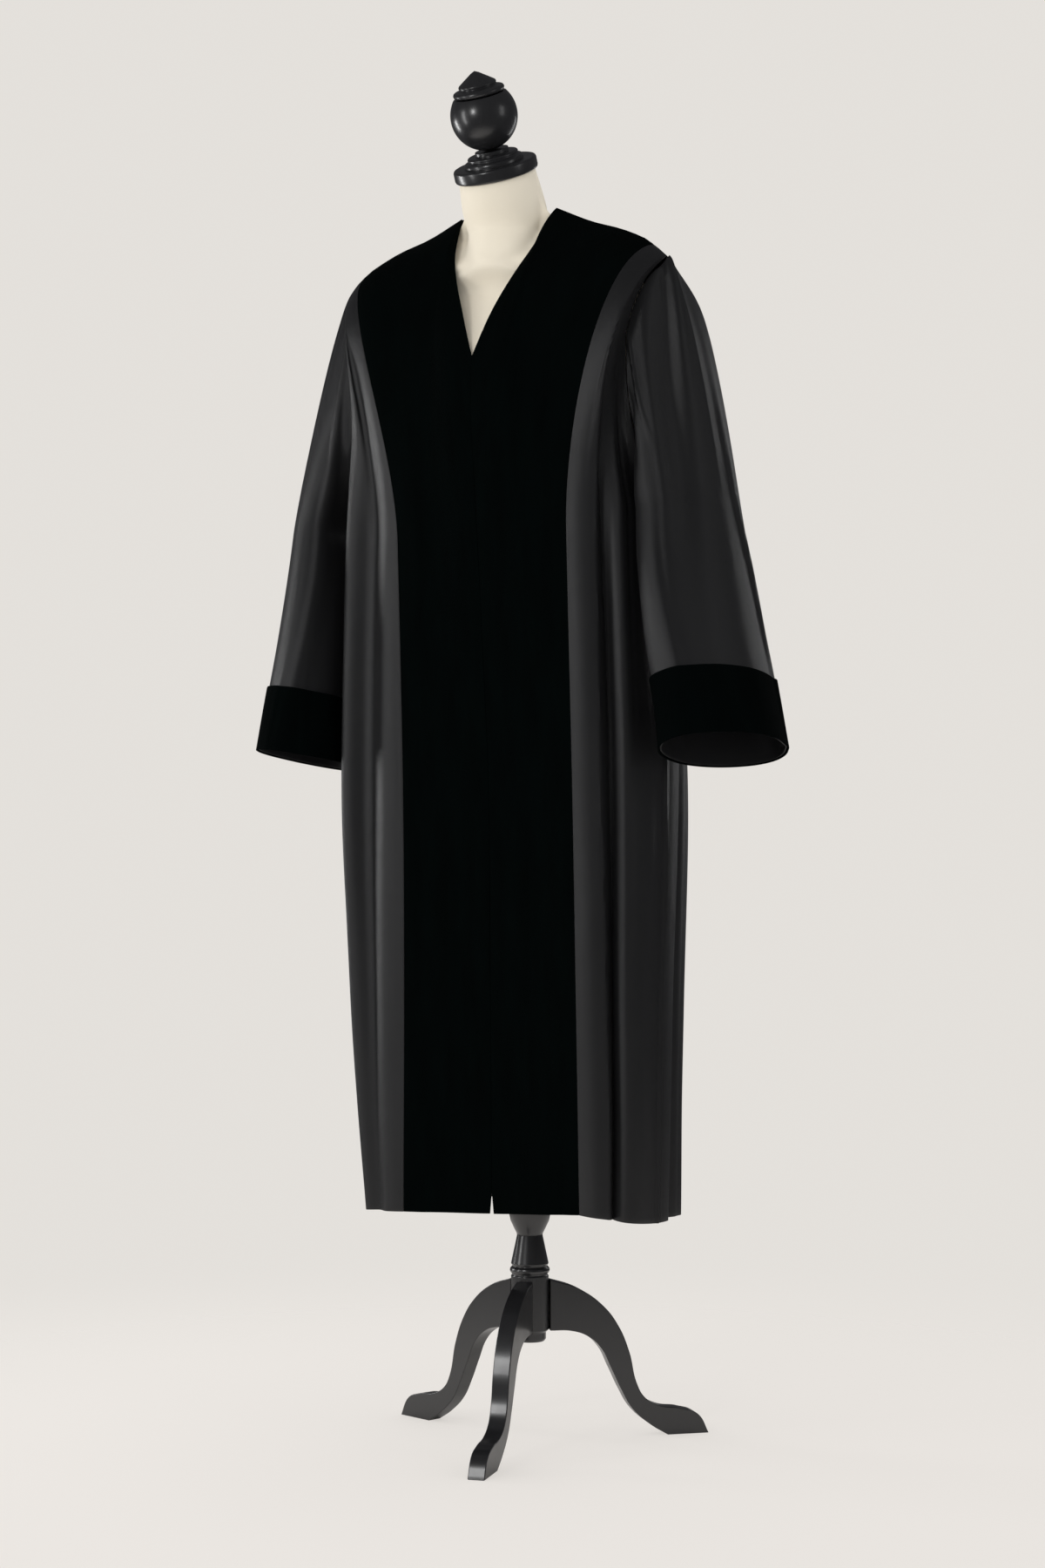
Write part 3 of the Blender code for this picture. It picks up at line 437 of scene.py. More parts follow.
SLEEVE_FOLDS = {
    "left": (
        (0.06, 0.09, ((0, 0.135, -1), (0.4, 0.14, -2), (0.75, 0.14, -4), (1, 0.13, -7), (1.25, 0.115, -10),
            (1.5, 0.1, -13), (1.7, 0.085, -10), (1.85, 0.06, -6), (2, 0.04, -1))),
        (0.035, 0.06, ((0, 0.2, 1), (0.25, 0.208, 2.5), (0.5, 0.237, 3), (0.75, 0.262, 2), (1, 0.27, 0))),
        (0.11, 0.13, ((0.1, 0.33, 0), (0.4, 0.33, 9), (0.8, 0.33, 15), (1.2, 0.33, 14), (1.5, 0.33, 6),
            (1.75, 0.33, 0))),
        (0.014, 0.03, ((1.4, 0.1, 0), (1.65, 0.065, -3), (1.8, 0.045, -4.5), (1.93, 0.03, -3),
            (2, 0.03, 0))),
        (0.03, 0.016, ((1.3, 0.085, 0), (1.65, 0.045, 2), (1.8, 0.02, 2), (2, 0.005, 1.5))),
        (0.1, 0.09, ((1.2, 0.96, 0), (1.6, 0.97, -4), (1.8, 0.98, -8), (1.93, 0.98, -5), (2, 0.98, 0))),
        (0.02, 0.02, ((1.3, 0.215, 0), (1.6, 0.25, 2.5), (1.8, 0.24, 3), (2, 0.2, 1))),
        (0.02, 0.022, ((1.3, 0.3, 0), (1.55, 0.32, -3), (1.8, 0.32, -3), (2, 0.3, 0))),
        (0.035, 0.02, ((0, 0.88, 1), (0.3, 0.89, 3), (0.75, 0.905, 4), (1, 0.93, 3), (1.4, 0.945, 2.5),
            (1.7, 0.94, 1), (2, 0.95, 0))),
        (0.05, 0.06, ((0, 0.7, 1), (0.5, 0.69, 4), (1, 0.68, 5), (1.5, 0.7, 2), (1.8, 0.7, 0))),
        (0.04, 0.04, ((0.1, 0.79, 0), (0.5, 0.8, -4), (1.2, 0.81, -7), (1.6, 0.83, -3), (1.9, 0.85, 0))),
    ),
    "right": (
        (0.034, 0.065, ((0.05, 0.262, 1), (0.25, 0.275, 2.6), (0.5, 0.302, 3), (0.85, 0.322, 3.5),
            (1.4, 0.308, 3.5), (1.6, 0.27, 3), (1.75, 0.222, 2.8), (1.9, 0.135, 2), (2, 0.08, 1))),
        (0.12, 0.08, ((0, 0.43, 4), (0.5, 0.43, 4.5), (0.9, 0.42, 2), (1.1, 0.41, 0))),
        (0.11, 0.11, ((0.8, 0.41, 0), (1.2, 0.4, -3), (1.6, 0.37, -4), (1.9, 0.28, 0))),
        (0.014, 0.014, ((0.02, 0.2, 0), (0.12, 0.21, 1.8), (0.25, 0.22, 1), (0.4, 0.23, 0))),
        (0.014, 0.016, ((0.02, 0.33, 0), (0.1, 0.325, 1.8), (0.25, 0.315, 1), (0.4, 0.32, 0))),
        (0.05, 0.05, ((0.2, 0.13, 0), (0.6, 0.14, -2), (1.2, 0.14, -3), (1.6, 0.09, -2), (1.9, 0.06, 0))),
        (0.014, 0.03, ((1.4, 0.1, 0), (1.7, 0.06, -3), (1.85, 0.04, -3.5), (2, 0.03, 0))),
        (0.035, 0.02, ((0, 0.88, 1), (0.5, 0.89, 3), (1, 0.92, 3), (1.6, 0.95, 2), (2, 0.95, 0))),
        (0.05, 0.06, ((0, 0.69, 1), (0.5, 0.68, 4), (1, 0.69, 5), (1.5, 0.71, 2), (1.8, 0.7, 0))),
        (0.04, 0.04, ((0.1, 0.8, 0), (0.5, 0.81, -4), (1.2, 0.82, -6), (1.6, 0.83, -3), (1.9, 0.85, 0))),
    ),
}
VELVET_FOLDS = {
    "left": (
        (0.3, 0.3, ((0, 0.55, 1.5), (0.5, 0.6, -2), (1, 0.5, 1.5), (1.5, 0.5, 0))),
        (0.12, 0.14, ((0, 0.8, -1), (0.4, 0.78, 1.2), (0.9, 0.82, -1), (1.3, 0.8, 0))),
    ),
    "right": (
        (0.3, 0.3, ((0, 0.5, -1), (0.4, 0.55, 2), (0.9, 0.5, -1.5), (1.5, 0.5, 0))),
        (0.12, 0.14, ((0, 0.78, 1), (0.5, 0.8, -1.2), (1, 0.76, 1), (1.3, 0.8, 0))),
    ),
}
EASE_ROWS = 13  # how many rows a fold's keys are blended over

# The rumple: the size of its swells across and down the cloth, the share of a panel's width over which
# it fades out towards a seam, and its height and its place in the pattern for each piece. In a sleeve it
# fades out over this part of the head's places too.
SWELL_WIDE, SWELL_LONG, SEAM_FADE, HEAD_FADE = 0.070, 0.22, 1 / 6, 0.25
RUMPLES = {
    "velvet": {"left": (0.0010, 3.0), "right": (0.0010, 8.0)},
    "front": {"left": (0.0016, 15.0), "right": (0.0016, 22.0)},
    "back": (0.0020, 31.0),
    "sleeve": {"left": (0.0012, 40.0), "right": (0.0012, 47.0)},
}
# How deep the cloth is drawn in at a seam, and within what reach of it.
TUCK, DEEP_TUCK, BACK_TOP_TUCK, TUCK_REACH = 0.0008, 0.0012, 0.0006, 0.006
SLIT_CURVE = 8  # how fast the slit's opening fades across the band: the higher, the nearer the edge


def eased(places, keys, values):
    """Values read between keys, with the corners at the keys rounded off."""
    straight = np.interp(places, keys, values)
    padded = np.pad(straight, EASE_ROWS // 2, mode="edge")
    return np.convolve(padded, np.full(EASE_ROWS, 1 / EASE_ROWS), mode="valid")


def fold(grid, table, shares, places, closed=False):
    """Moves a grid's points along its normals by the folds in a table."""
    push = np.zeros(grid.shape[:2])
    for before, after, keys in table:
        keys = np.array(keys)
        at, height = (eased(places, keys[:, 0], values) for values in (keys[:, 1], keys[:, 2] / 1000))
        off = shares[None, :] - at[:, None]
        if closed:
            off = (off + 0.5) % 1 - 0.5
        reach = np.where(off < 0, before, after)
        push += height[:, None] * np.cos(np.clip(np.abs(off) / reach, 0, 1) * math.pi / 2) ** 2
    return grid + normals(grid, closed) * (sizes().fold_strength * push)[..., None]


def rumple(grid, amount, seed, closed=False):
    """The slight unevenness of hanging cloth, longer down the cloth than across it and none at a seam."""
    flat = grid.reshape(-1, 3) / (SWELL_WIDE, SWELL_WIDE, SWELL_LONG) + (seed, 0, 0)
    shifts = np.array([noise.noise(point) for point in flat.tolist()]).reshape(grid.shape[:2])
    if closed:
        shifts[:, -1] = shifts[:, 0]
    else:
        inward = np.linspace(0, 1, grid.shape[1])
        shifts *= np.clip(np.minimum(inward, 1 - inward) / SEAM_FADE, 0, 1)
    return grid + normals(grid, closed) * (amount * shifts)[..., None]


def tuck(grid, first_thread, last_thread, last_row=0.0):
    """Draws the cloth in where it meets a seam, by these depths at its edges."""
    across = np.cumsum(np.linalg.norm(np.diff(grid, axis=1, prepend=grid[:, :1]), axis=2), axis=1)
    up = np.cumsum(np.linalg.norm(np.diff(grid, axis=0, prepend=grid[:1]), axis=2), axis=0)
    edges = (across, first_thread), (across[:, -1:] - across, last_thread), (up[-1:] - up, last_row)
    depth = sum(deepest * np.exp(-((away / TUCK_REACH) ** 2)) for away, deepest in edges)
    return grid - normals(grid, False) * depth[..., None]


def velvet_front(side):
    shares = thread_places((0, NECK_THREAD, 1), VELVET_THREADS)
    grid = panel(velvet_section, lambda at: velvet_top(at, side), shares)
    grid = fold(grid, VELVET_FOLDS[side], shares, body_places())
    grid = rumple(grid, *RUMPLES["velvet"][side])
    grid = tuck(grid, TUCK, TUCK)
    grid = hang(grid, shares, 0, HEM_LIFT[side][0])
    grid = trim(grid, RIDGE_TRIM, FRONT_TRIM, EDGE_TRIM)
    opening = np.clip(1 - (grid[:, :, 2] - HEM) / sizes().slit_height, 0, 1) * sizes().slit_width / 2
    grid[:, :, 0] += opening * (1 - shares[None, :]) ** SLIT_CURVE
    return grid


def wool_front(side):
    shares = thread_places((0, SHOULDER_THREAD, 1), FRONT_THREADS)
    half_width_column = 3 + SIDES.index(side)

    def section(height, shares):
        return front_section(height, shares, read(SKIRT, height)[half_width_column])

    grid = panel(section, lambda at: front_top(at, side), shares)
    grid = fold(grid, WOOL_FRONT_FOLDS[side], shares, body_places())
    grid = rumple(grid, *RUMPLES["front"][side])
    grid = tuck(grid, TUCK, DEEP_TUCK, TUCK)
    return trim(hang(grid, shares, *HEM_LIFT[side]), RIDGE_TRIM, EDGE_TRIM, EDGE_TRIM)


def wool_back():
    half = thread_places((0, BACK_ARMHOLE, BACK_SHOULDER, 0.5), HALF_BACK_THREADS)
    shares = np.concatenate([half, 1 - half[-2::-1]])
    grid = panel(back_section, back_top, shares)
    grid = fold(grid, BACK_FOLDS, shares, body_places())
    grid = rumple(grid, *RUMPLES["back"])
    grid = tuck(grid, DEEP_TUCK, DEEP_TUCK, BACK_TOP_TUCK)
    grid = hang(grid, shares, HEM_LIFT["left"][1], HEM_LIFT["right"][1])
    return trim(grid, RIDGE_TRIM, EDGE_TRIM, EDGE_TRIM)


def sleeve(side):
    turns = np.linspace(0, 1, SLEEVE_THREADS + 1)
    grid = sleeve_grid(side, turns)
    grid = fold(grid, SLEEVE_FOLDS[side], turns, sleeve_places(), closed=True)
    fade = np.clip((2 - sleeve_places()) / HEAD_FADE, 0, 1)[:, None, None]
    return grid + (rumple(grid, *RUMPLES["sleeve"][side], closed=True) - grid) * fade


def cuff(sleeve_points):
    """The cuff, from the sleeve's own points moved out, with its lower edge just below the rim."""
    low_end = SLEEVE[-1][0]
    heights = np.linspace(SLEEVE[0][0], low_end, ARM_ROWS + 1)
    arm = sleeve_points[-ARM_ROWS - 1 :]
    clear = (sizes().wool + sizes().velvet) / 2 + sizes().seam_gap + CUFF_EASE
    moved = arm + normals(arm, closed=True) * clear
    rows = []
    for share in np.linspace(0, 1, CUFF_ROWS + 1):
        place = np.interp(low_end + CUFF_DEPTH * (1 - share), heights[::-1], np.arange(ARM_ROWS, -1, -1))
        low = int(min(place, ARM_ROWS - 1))
        rows.append(moved[low] + (moved[low + 1] - moved[low]) * (place - low))
    return np.array(rows)


# ---------------------------------------- the stand's sizes

# The dress form, as level sections from the lower end up.
TORSO = (
    # height  centre   wide    front   back
    (0.800, 0.000, 0.1300, 0.0760, 0.0850),
    (0.815, 0.000, 0.1420, 0.0840, 0.0930),
    (0.880, 0.000, 0.1560, 0.0880, 0.1020),
    (0.960, 0.000, 0.1540, 0.0920, 0.1020),
    (1.060, -0.008, 0.1340, 0.0940, 0.0860),
    (1.160, -0.012, 0.1450, 0.1050, 0.0920),
    (1.240, -0.016, 0.1560, 0.1180, 0.0960),
    (1.310, -0.020, 0.1640, 0.1220, 0.0960),
    (1.360, -0.030, 0.1700, 0.0900, 0.0880),
    (1.400, -0.042, 0.1740, 0.0580, 0.0700),
)
SHOULDERS = ((1.425, 0.0360), (1.445, 0.0240), (1.460, 0.0160), (1.471, 0.0095), (1.479, 0.0050))
SHOULDER_END = 0.172
SHOULDER_DROP = 0.0028
# The neck's base is drawn in by this share and down by this much at its sides, clear of the velvet.
NECK_BASE_HEIGHT, NECK_BASE_WAIST, NECK_BASE_DROP = 1.490, 0.072, 0.0042
NECK_BASE_REACH, NECK_SIDE = 0.012, (0.048, 0.060)  # up and down, and where the sides begin
NECK_BASE = 0.0485
NECK = (
    # height  centre   radius  lean in degrees
    (1.490, -0.0600, 0.0520, 4),
    (1.502, -0.0640, 0.0525, 8),
    (1.517, -0.0730, 0.0495, 15),
    (1.5395, -0.0845, 0.0465, 27),
)
FORM_ROUND, FORM_ROWS_PER_SECTION = 112, 5
SIDE_PULL = 0.045  # how far the threads round the form are drawn to its tight sides, in turns
SHOULDER_BLEND = 10  # how sharply the shoulders' oval gives way to the neck's circle
# The rows above these heights are smoothed so many times, and less in the last few rows.
SOFT_FROM, SOFT_TIMES, SOFT_LAST_ROWS = (1.472, 1.480), 60, 9

# The turned pieces, as (radius, height) down the outer side, in millimetres. The cap's heights are
# above the neck. The leg's outline is in millimetres too.
PLATE = (
    (0, 31.5), (20.5, 31.5), (20.5, 27.2), (26.5, 27), (30, 26.2), (31.2, 24.5), (30.6, 22.6), (31.8, 21.6),
    (35.2, 20.2), (36.2, 18), (36.2, 15.5), (48, 15.5), (50, 14.8), (51, 12.5), (51, 3.5), (50.2, 1.2),
    (48.2, 0.3), (0, 0.3),
)
BALL_CENTRE, BALL_RADIUS, BALL_LOW, BALL_HIGH, BALL_RINGS = 71.8, 40.4, 31.8, 96.5, 49
FINIAL = (
    (0, 125), (5, 122.6), (15, 115.8), (22.2, 110.8), (23.2, 108.8), (22.2, 106.6), (26.2, 105),
    (28.5, 104.4), (30.4, 103.4), (31.4, 101), (30.4, 98.4), (28.5, 97.2), (23, 96.8), (0, 96.8),
)
COLUMN = (
    (0, 799.7), (45, 799.7), (45, 789.7), (14, 785.7), (14, 345), (16.5, 340), (16.5, 333), (15, 330),
    (20.5, 318), (23.8, 310), (25.6, 300), (26.2, 290), (25.6, 280), (23.6, 271), (19.5, 262),
    (16.2, 255.5), (15.8, 253), (23.2, 218.5), (21.5, 215.5), (22.5, 214.5), (24, 213), (24.7, 210.5),
    (24, 208), (22.5, 206.5), (21.8, 205), (23.2, 203.5), (23.2, 137), (20, 134), (20, 126), (18, 123),
    (0, 123),
)
LEG_AT = math.radians(-78)  # where the front leg stands, round from the wearer's left
CORNER, BEND = "VECTOR", "AUTO"
LEG_OUTLINE = (  # reach, height, and what the edge does there
    (23.5, 198.5, CORNER), (60, 186, BEND), (91, 164, BEND), (111, 138, BEND), (125, 105, BEND),
    (135, 65, BEND), (145, 48, BEND), (164, 37, BEND), (191, 32.5, BEND), (214, 24, BEND), (228, 0, CORNER),
    (175, 0, CORNER), (152, 14, BEND), (129, 34.5, BEND), (115, 58, BEND), (102, 85, BEND), (88, 112, BEND),
    (71, 127, BEND), (51, 134, BEND), (23.5, 135.5, CORNER),
)


def torso_ring(centre, height, wide, front, back, angles):
    depth = np.where(np.sin(angles) < 0, front, back)
    x, y = wide * np.cos(angles), centre + depth * np.sin(angles)
    return np.stack([x, y, np.full_like(x, height)], axis=-1)


def shoulder_ring(height, depth, angles):
    """A level section through shoulders and neck: the wider of an oval and a circle, blended."""
    seam = np.array(SHOULDER)
    wide, centre = (np.interp(height + SHOULDER_DROP, seam[::-1, 2], seam[::-1, i]) for i in (0, 1))
    oval_reach = 1 / np.hypot(np.cos(angles) / min(wide, SHOULDER_END), np.sin(angles) / depth)
    reach = (oval_reach**SHOULDER_BLEND + NECK_BASE**SHOULDER_BLEND) ** (1 / SHOULDER_BLEND)
    x, y = reach * np.cos(angles), centre + reach * np.sin(angles)
    return np.stack([x, y, np.full_like(x, height)], axis=-1)


def neck_ring(centre, height, radius, lean, angles):
    lean = math.radians(lean)
    ahead = radius * np.sin(angles)
    y, z = centre + ahead * math.cos(lean), height + ahead * math.sin(lean)
    return np.stack([radius * np.cos(angles), y, z], axis=-1)


def form_grid():
    """The form's surface from its lower end to the neck's top, with extra rows between its sections."""
    turns = np.linspace(0, 1, FORM_ROUND + 1)
    angles = (turns - SIDE_PULL * np.sin(2 * TURN * turns)) * TURN
    rings = [torso_ring(centre, height, *reaches, angles) for height, centre, *reaches in TORSO]
    rings += [shoulder_ring(height, depth, angles) for height, depth in SHOULDERS]
    rings += [neck_ring(centre, height, radius, lean, angles) for height, centre, radius, lean in NECK]
    rings = np.array(rings)
    keys = np.arange(len(rings))
    rows = np.linspace(0, len(rings) - 1, (len(rings) - 1) * FORM_ROWS_PER_SECTION + 1)
    grid = smooth(keys, rings.reshape(len(rings), -1), rows).reshape(len(rows), -1, 3)
    soften = between(grid[:, :, 2].mean(axis=1), *SOFT_FROM)
    soften *= between(np.arange(len(rows))[::-1], 0, SOFT_LAST_ROWS)
    for _ in range(SOFT_TIMES):
        middle = (grid[:-2] + grid[2:]) / 2
        grid[1:-1] += 0.5 * soften[1:-1, None, None] * (middle - grid[1:-1])
    at_base = np.exp(-(((grid[:, :, 2] - NECK_BASE_HEIGHT) / NECK_BASE_REACH) ** 2))
    at_base *= between(np.abs(grid[:, :, 0]), *NECK_SIDE)
    grid[:, :, 0] *= 1 - NECK_BASE_WAIST * at_base
    grid[:, :, 2] -= NECK_BASE_DROP * at_base
    return grid


# ---------------------------------------- making pieces

WELD = 0.00001  # points nearer than this are one
# The rounding of edges: width, segments, and the angle in degrees above which an edge is rounded.
TURNED_EDGES, SAWN_EDGES, FORM_EDGES = (0.0007, 3, 28), (0.0018, 4, 50), (0.0020, 3, 50)
CLOTH_EDGE, CLOTH_SEGMENTS, CLOTH_ANGLE = 0.3, 2, 60  # the first in thicknesses of the cloth
# The angle in degrees above which an edge stays sharp in the shading.
CLOTH_SHARP, TURNED_SHARP, SAWN_SHARP, FORM_SHARP = 40, 45, 35, 50
HALF_FRONT_GAP = 0.0001  # how far each velvet band keeps from the centre front
TURNED_ROUND = 96  # points round a turned piece
OUTLINE_STEPS, OUTLINE_STRAIGHT = 14, math.radians(0.5)  # a sawn curve's steps, and what counts as straight


def deselect():
    bpy.ops.object.select_all(action="DESELECT")


def choose(made):
    """Makes a piece the active one and the only one selected."""
    deselect()
    bpy.context.view_layer.objects.active = made
    made.select_set(True)


def start_piece(name):
    made = bpy.context.object
    made.name = made.data.name = name
    return made


def apply_modifiers(made):
    choose(made)
    for modifier in list(made.modifiers):
        bpy.ops.object.modifier_apply(modifier=modifier.name)


def in_edit_mode(made, *steps):
    """Runs edit-mode steps on all of a piece."""
    choose(made)
    bpy.ops.object.mode_set(mode="EDIT")
    bpy.ops.mesh.select_all(action="SELECT")
    for step in steps:
        step()
    bpy.ops.object.mode_set(mode="OBJECT")


def merge_doubles():
    bpy.ops.mesh.remove_doubles(threshold=WELD)


def laid_grid(name, grid, closed):
    """Blender's grid primitive laid through a grid of points, its UV map in metres of cloth."""
    rows, threads = grid.shape[:2]
    deselect()
    bpy.ops.mesh.primitive_grid_add(x_subdivisions=threads - 1, y_subdivisions=rows - 1, size=2)
    made = start_piece(name)
    data = made.data
    flat = np.empty(len(data.vertices) * 3)
    data.vertices.foreach_get("co", flat)
    flat = flat.reshape(-1, 3)
    column = np.rint((flat[:, 0] + 1) / 2 * (threads - 1)).astype(int)
    row = np.rint((flat[:, 1] + 1) / 2 * (rows - 1)).astype(int)
    data.vertices.foreach_set("co", (grid[row, column] + (0, POLE_Y, 0)).ravel())
    across = np.linalg.norm(np.diff(grid, axis=1), axis=2).mean(axis=0)
    up = np.linalg.norm(np.diff(grid, axis=0), axis=2).mean(axis=1)
    across, up = (np.concatenate([[0], np.cumsum(steps)]) for steps in (across, up))
    corners = np.empty(len(data.loops), int)
    data.loops.foreach_get("vertex_index", corners)
    uv = np.stack([across[column[corners]], up[row[corners]]], axis=-1)
    data.uv_layers.active.data.foreach_set("uv", uv.ravel())
    if closed:
        in_edit_mode(made, merge_doubles)
    return made


def finish_piece(made, finish, node, sharp):
    """Shading, material and the frame's calls that every piece has."""
    choose(made)
    bpy.ops.object.shade_smooth_by_angle(angle=math.radians(sharp))
    made.data.materials.clear()
    made.data.materials.append(finish)
    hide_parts(node)
    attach(made, "root")


def round_edges(made, width, segments, angle):
    """Rounds a piece's edges that are sharper than the angle, and applies all its modifiers."""
    soften = made.modifiers.new("round_edges", "BEVEL")
    soften.width = width
    soften.segments = segments
    soften.limit_method = "ANGLE"
    soften.angle_limit = math.radians(angle)
    apply_modifiers(made)


def cloth(name, grid, kind, node, closed=False):
    """A wall of wool or velvet with the grid at the middle of its thickness, and the size it was cut to."""
    made = laid_grid(name, grid, closed)
    wall = made.modifiers.new("wall", "SOLIDIFY")
    wall.thickness = getattr(sizes(), kind)
    wall.offset = 0
    round_edges(made, wall.thickness * CLOTH_EDGE, CLOTH_SEGMENTS, CLOTH_ANGLE)
    finish_piece(made, finish_named(f"black_{kind}"), node, CLOTH_SHARP)
    return made


def keep_to_side(made, side):
    """Presses a band's front edge flat where its wall would cross the centre front."""
    sign = {"left": 1, "right": -1}[side]
    for point in made.data.vertices:
        point.co.x = sign * max(sign * point.co.x, HALF_FRONT_GAP)


def even_shading(made):
    made.modifiers.new("even", "WEIGHTED_NORMAL").keep_sharp = True
    apply_modifiers(made)


def turned(name, profile, node, placed):
    """A turned piece: a disc drawn up ring by ring through its profile, with its edges rounded."""
    rings = [(radius / 1000, height / 1000) for radius, height in profile[::-1]]
    radius, height = rings[1]
    deselect()
    bpy.ops.mesh.primitive_circle_add(
        vertices=TURNED_ROUND, radius=radius, fill_type="NGON", location=(0, 0, height)
    )
    made = start_piece(name)
    bpy.ops.object.transform_apply(location=True)

    def draw_up():
        last_radius, last_height = radius, height
        for next_radius, next_height in rings[2:]:
            if next_radius == 0 and next_height == last_height:
                break
            rise = {"value": (0, 0, next_height - last_height), "orient_type": "GLOBAL"}
            bpy.ops.mesh.extrude_region_move(TRANSFORM_OT_translate=rise)
            scale = next_radius / last_radius
            centre = (0, 0, next_height)
            bpy.ops.transform.resize(value=(scale, scale, 1), orient_type="GLOBAL", center_override=centre)
            last_radius, last_height = next_radius, next_height

    in_edit_mode(made, draw_up)
    in_edit_mode(made, merge_doubles, lambda: bpy.ops.mesh.normals_make_consistent(inside=False))
    round_edges(made, *TURNED_EDGES)
    made.data.transform(placed)
    finish_piece(made, finish_named("black_lacquer"), node, TURNED_SHARP)
    even_shading(made)


def sawn_board():
    """A cabriole leg's outline sawn from a board that lies flat, with its edges rounded."""
    deselect()
    bpy.ops.curve.primitive_bezier_circle_add(radius=0.1)
    outline = bpy.context.object.data
    outline.dimensions = "2D"
    outline.fill_mode = "BOTH"
    outline.extrude = sizes().leg_board / 2
    outline.resolution_u = OUTLINE_STEPS
    spline = outline.splines[0]
    spline.bezier_points.add(len(LEG_OUTLINE) - len(spline.bezier_points))
    for point, (reach, height, kind) in zip(spline.bezier_points, LEG_OUTLINE):
        point.co = (reach / 1000, height / 1000, 0)
        point.handle_left_type = point.handle_right_type = kind
    bpy.ops.object.convert(target="MESH")
    made = start_piece("sawn_board")
    in_edit_mode(made, merge_doubles, lambda: bpy.ops.mesh.dissolve_limited(angle_limit=OUTLINE_STRAIGHT))
    round_edges(made, *SAWN_EDGES)
    return made


def leg(board, name, angle, node):
    """A copy of the sawn board, stood up at the column."""
    choose(board)
    bpy.ops.object.duplicate()
    made = start_piece(name)
    standing = Matrix.Rotation(angle, 4, "Z") @ Matrix.Rotation(math.pi / 2, 4, "X")
    made.data.transform(Matrix.Translation((0, POLE_Y, 0)) @ standing)
    finish_piece(made, finish_named("black_lacquer"), node, SAWN_SHARP)
    even_shading(made)


# ---------------------------------------- finishes


class Maths:
    """A socket in shader maths: an expression on it adds Math nodes."""

    def __init__(self, nodes, socket):
        self.nodes = nodes
        self.socket = socket

    def join(self, operation, *others, before=()):
        values = dict(enumerate((*before, self, *others)))
        return self.nodes.read("ShaderNodeMath", 0, {"operation": operation}, values)

    def __add__(self, other):
        return self.join("ADD", other)

    def __radd__(self, other):
        return self.join("ADD", before=(other,))

    def __sub__(self, other):
        return self.join("SUBTRACT", other)

    def __rsub__(self, other):
        return self.join("SUBTRACT", before=(other,))

    def __mul__(self, other):
        return self.join("MULTIPLY", other)

    def __rmul__(self, other):
        return self.join("MULTIPLY", before=(other,))

    def wave(self, pitch):
        """A wave that comes round once in each pitch."""
        return (self * (TURN / pitch)).join("SINE")

    def clamped(self, low=0.0, high=1.0):
        return self.join("MAXIMUM", low).join("MINIMUM", high)


class Nodes:
    """A node tree being built, with one way to add any node."""

    def __init__(self, tree):
        self.tree = tree

    def node(self, kind, settings=None, sockets=None):
        made = self.tree.nodes.new(kind)
        for setting, value in (settings or {}).items():
            setattr(made, setting, value)
        for socket, value in (sockets or {}).items():
            self.feed(made.inputs[socket], value)
        return made

    def feed(self, socket, value):
        if isinstance(value, Maths):
            self.tree.links.new(value.socket, socket)
        else:
            socket.default_value = value

    def read(self, kind, output, settings=None, sockets=None):
        return Maths(self, self.node(kind, settings, sockets).outputs[output])

    def blend(self, share, first, second):
        """A colour between two others."""
        return self.read("ShaderNodeMix", 2, {"data_type": "RGBA"}, {0: share, 6: first, 7: second})


class Finish(Nodes):
    """A material being built."""

    def __init__(self, name, colour, **constants):
        self.material = bpy.data.materials.new(name)
        self.material.use_nodes = True
        super().__init__(self.material.node_tree)
        self.shader = self.tree.nodes["Principled BSDF"]
        self.colour = tuple(colour[:3])
        self.shader.inputs["Base Color"].default_value = (*self.colour, 1)
        for socket, value in constants.items():
            self.shader.inputs[socket.replace("_", " ")].default_value = value

    def place(self):
        """Where a point is on the object, in metres."""
        return self.read("ShaderNodeTexCoord", "Object")

    def on_cloth(self):
        """Where a point is on its own panel, in metres of cloth."""
        return self.read("ShaderNodeTexCoord", "UV")

    def noise(self, where, scale, detail=3.0, roughness=0.55):
        """A cloudy pattern with so many clouds to the metre."""
        sockets = {"Vector": where, "Scale": scale, "Detail": detail, "Roughness": roughness}
        return self.read("ShaderNodeTexNoise", 0, {}, sockets)

    def streaks(self, where, counts, detail):
        """The same pattern with its own number of clouds to the metre each way."""
        stretched = self.read("ShaderNodeMapping", 0, {}, {"Vector": where, "Scale": counts})
        return self.noise(stretched, 1.0, detail)

    def shade(self, *factors):
        """The finish's own colour times one factor, or one for each channel."""
        factors = factors * 3 if len(factors) == 1 else factors
        return tuple(channel * factor for channel, factor in zip(self.colour, factors)) + (1,)

    def bump(self, height, distance, strength, below=None):
        sockets = {"Height": height, "Distance": distance, "Strength": strength}
        if below is not None:
            sockets["Normal"] = below
        return self.read("ShaderNodeBump", 0, {}, sockets)

    def set(self, socket, value):
        self.feed(self.shader.inputs[socket], value)


def threads_of(made):
    """How far across and how far up its panel a point is, for a weave."""
    parts = made.node("ShaderNodeSeparateXYZ", {}, {0: made.on_cloth()})
    return (Maths(made, parts.outputs[i]) for i in (0, 1))


# The pitches of the wool's twill lines and yarns, and of the jersey's stitches across and up.
TWILL_PITCH, YARN_PITCH, KNIT_WIDE, KNIT_LONG = 0.0012, 0.0006, 0.0011, 0.0009


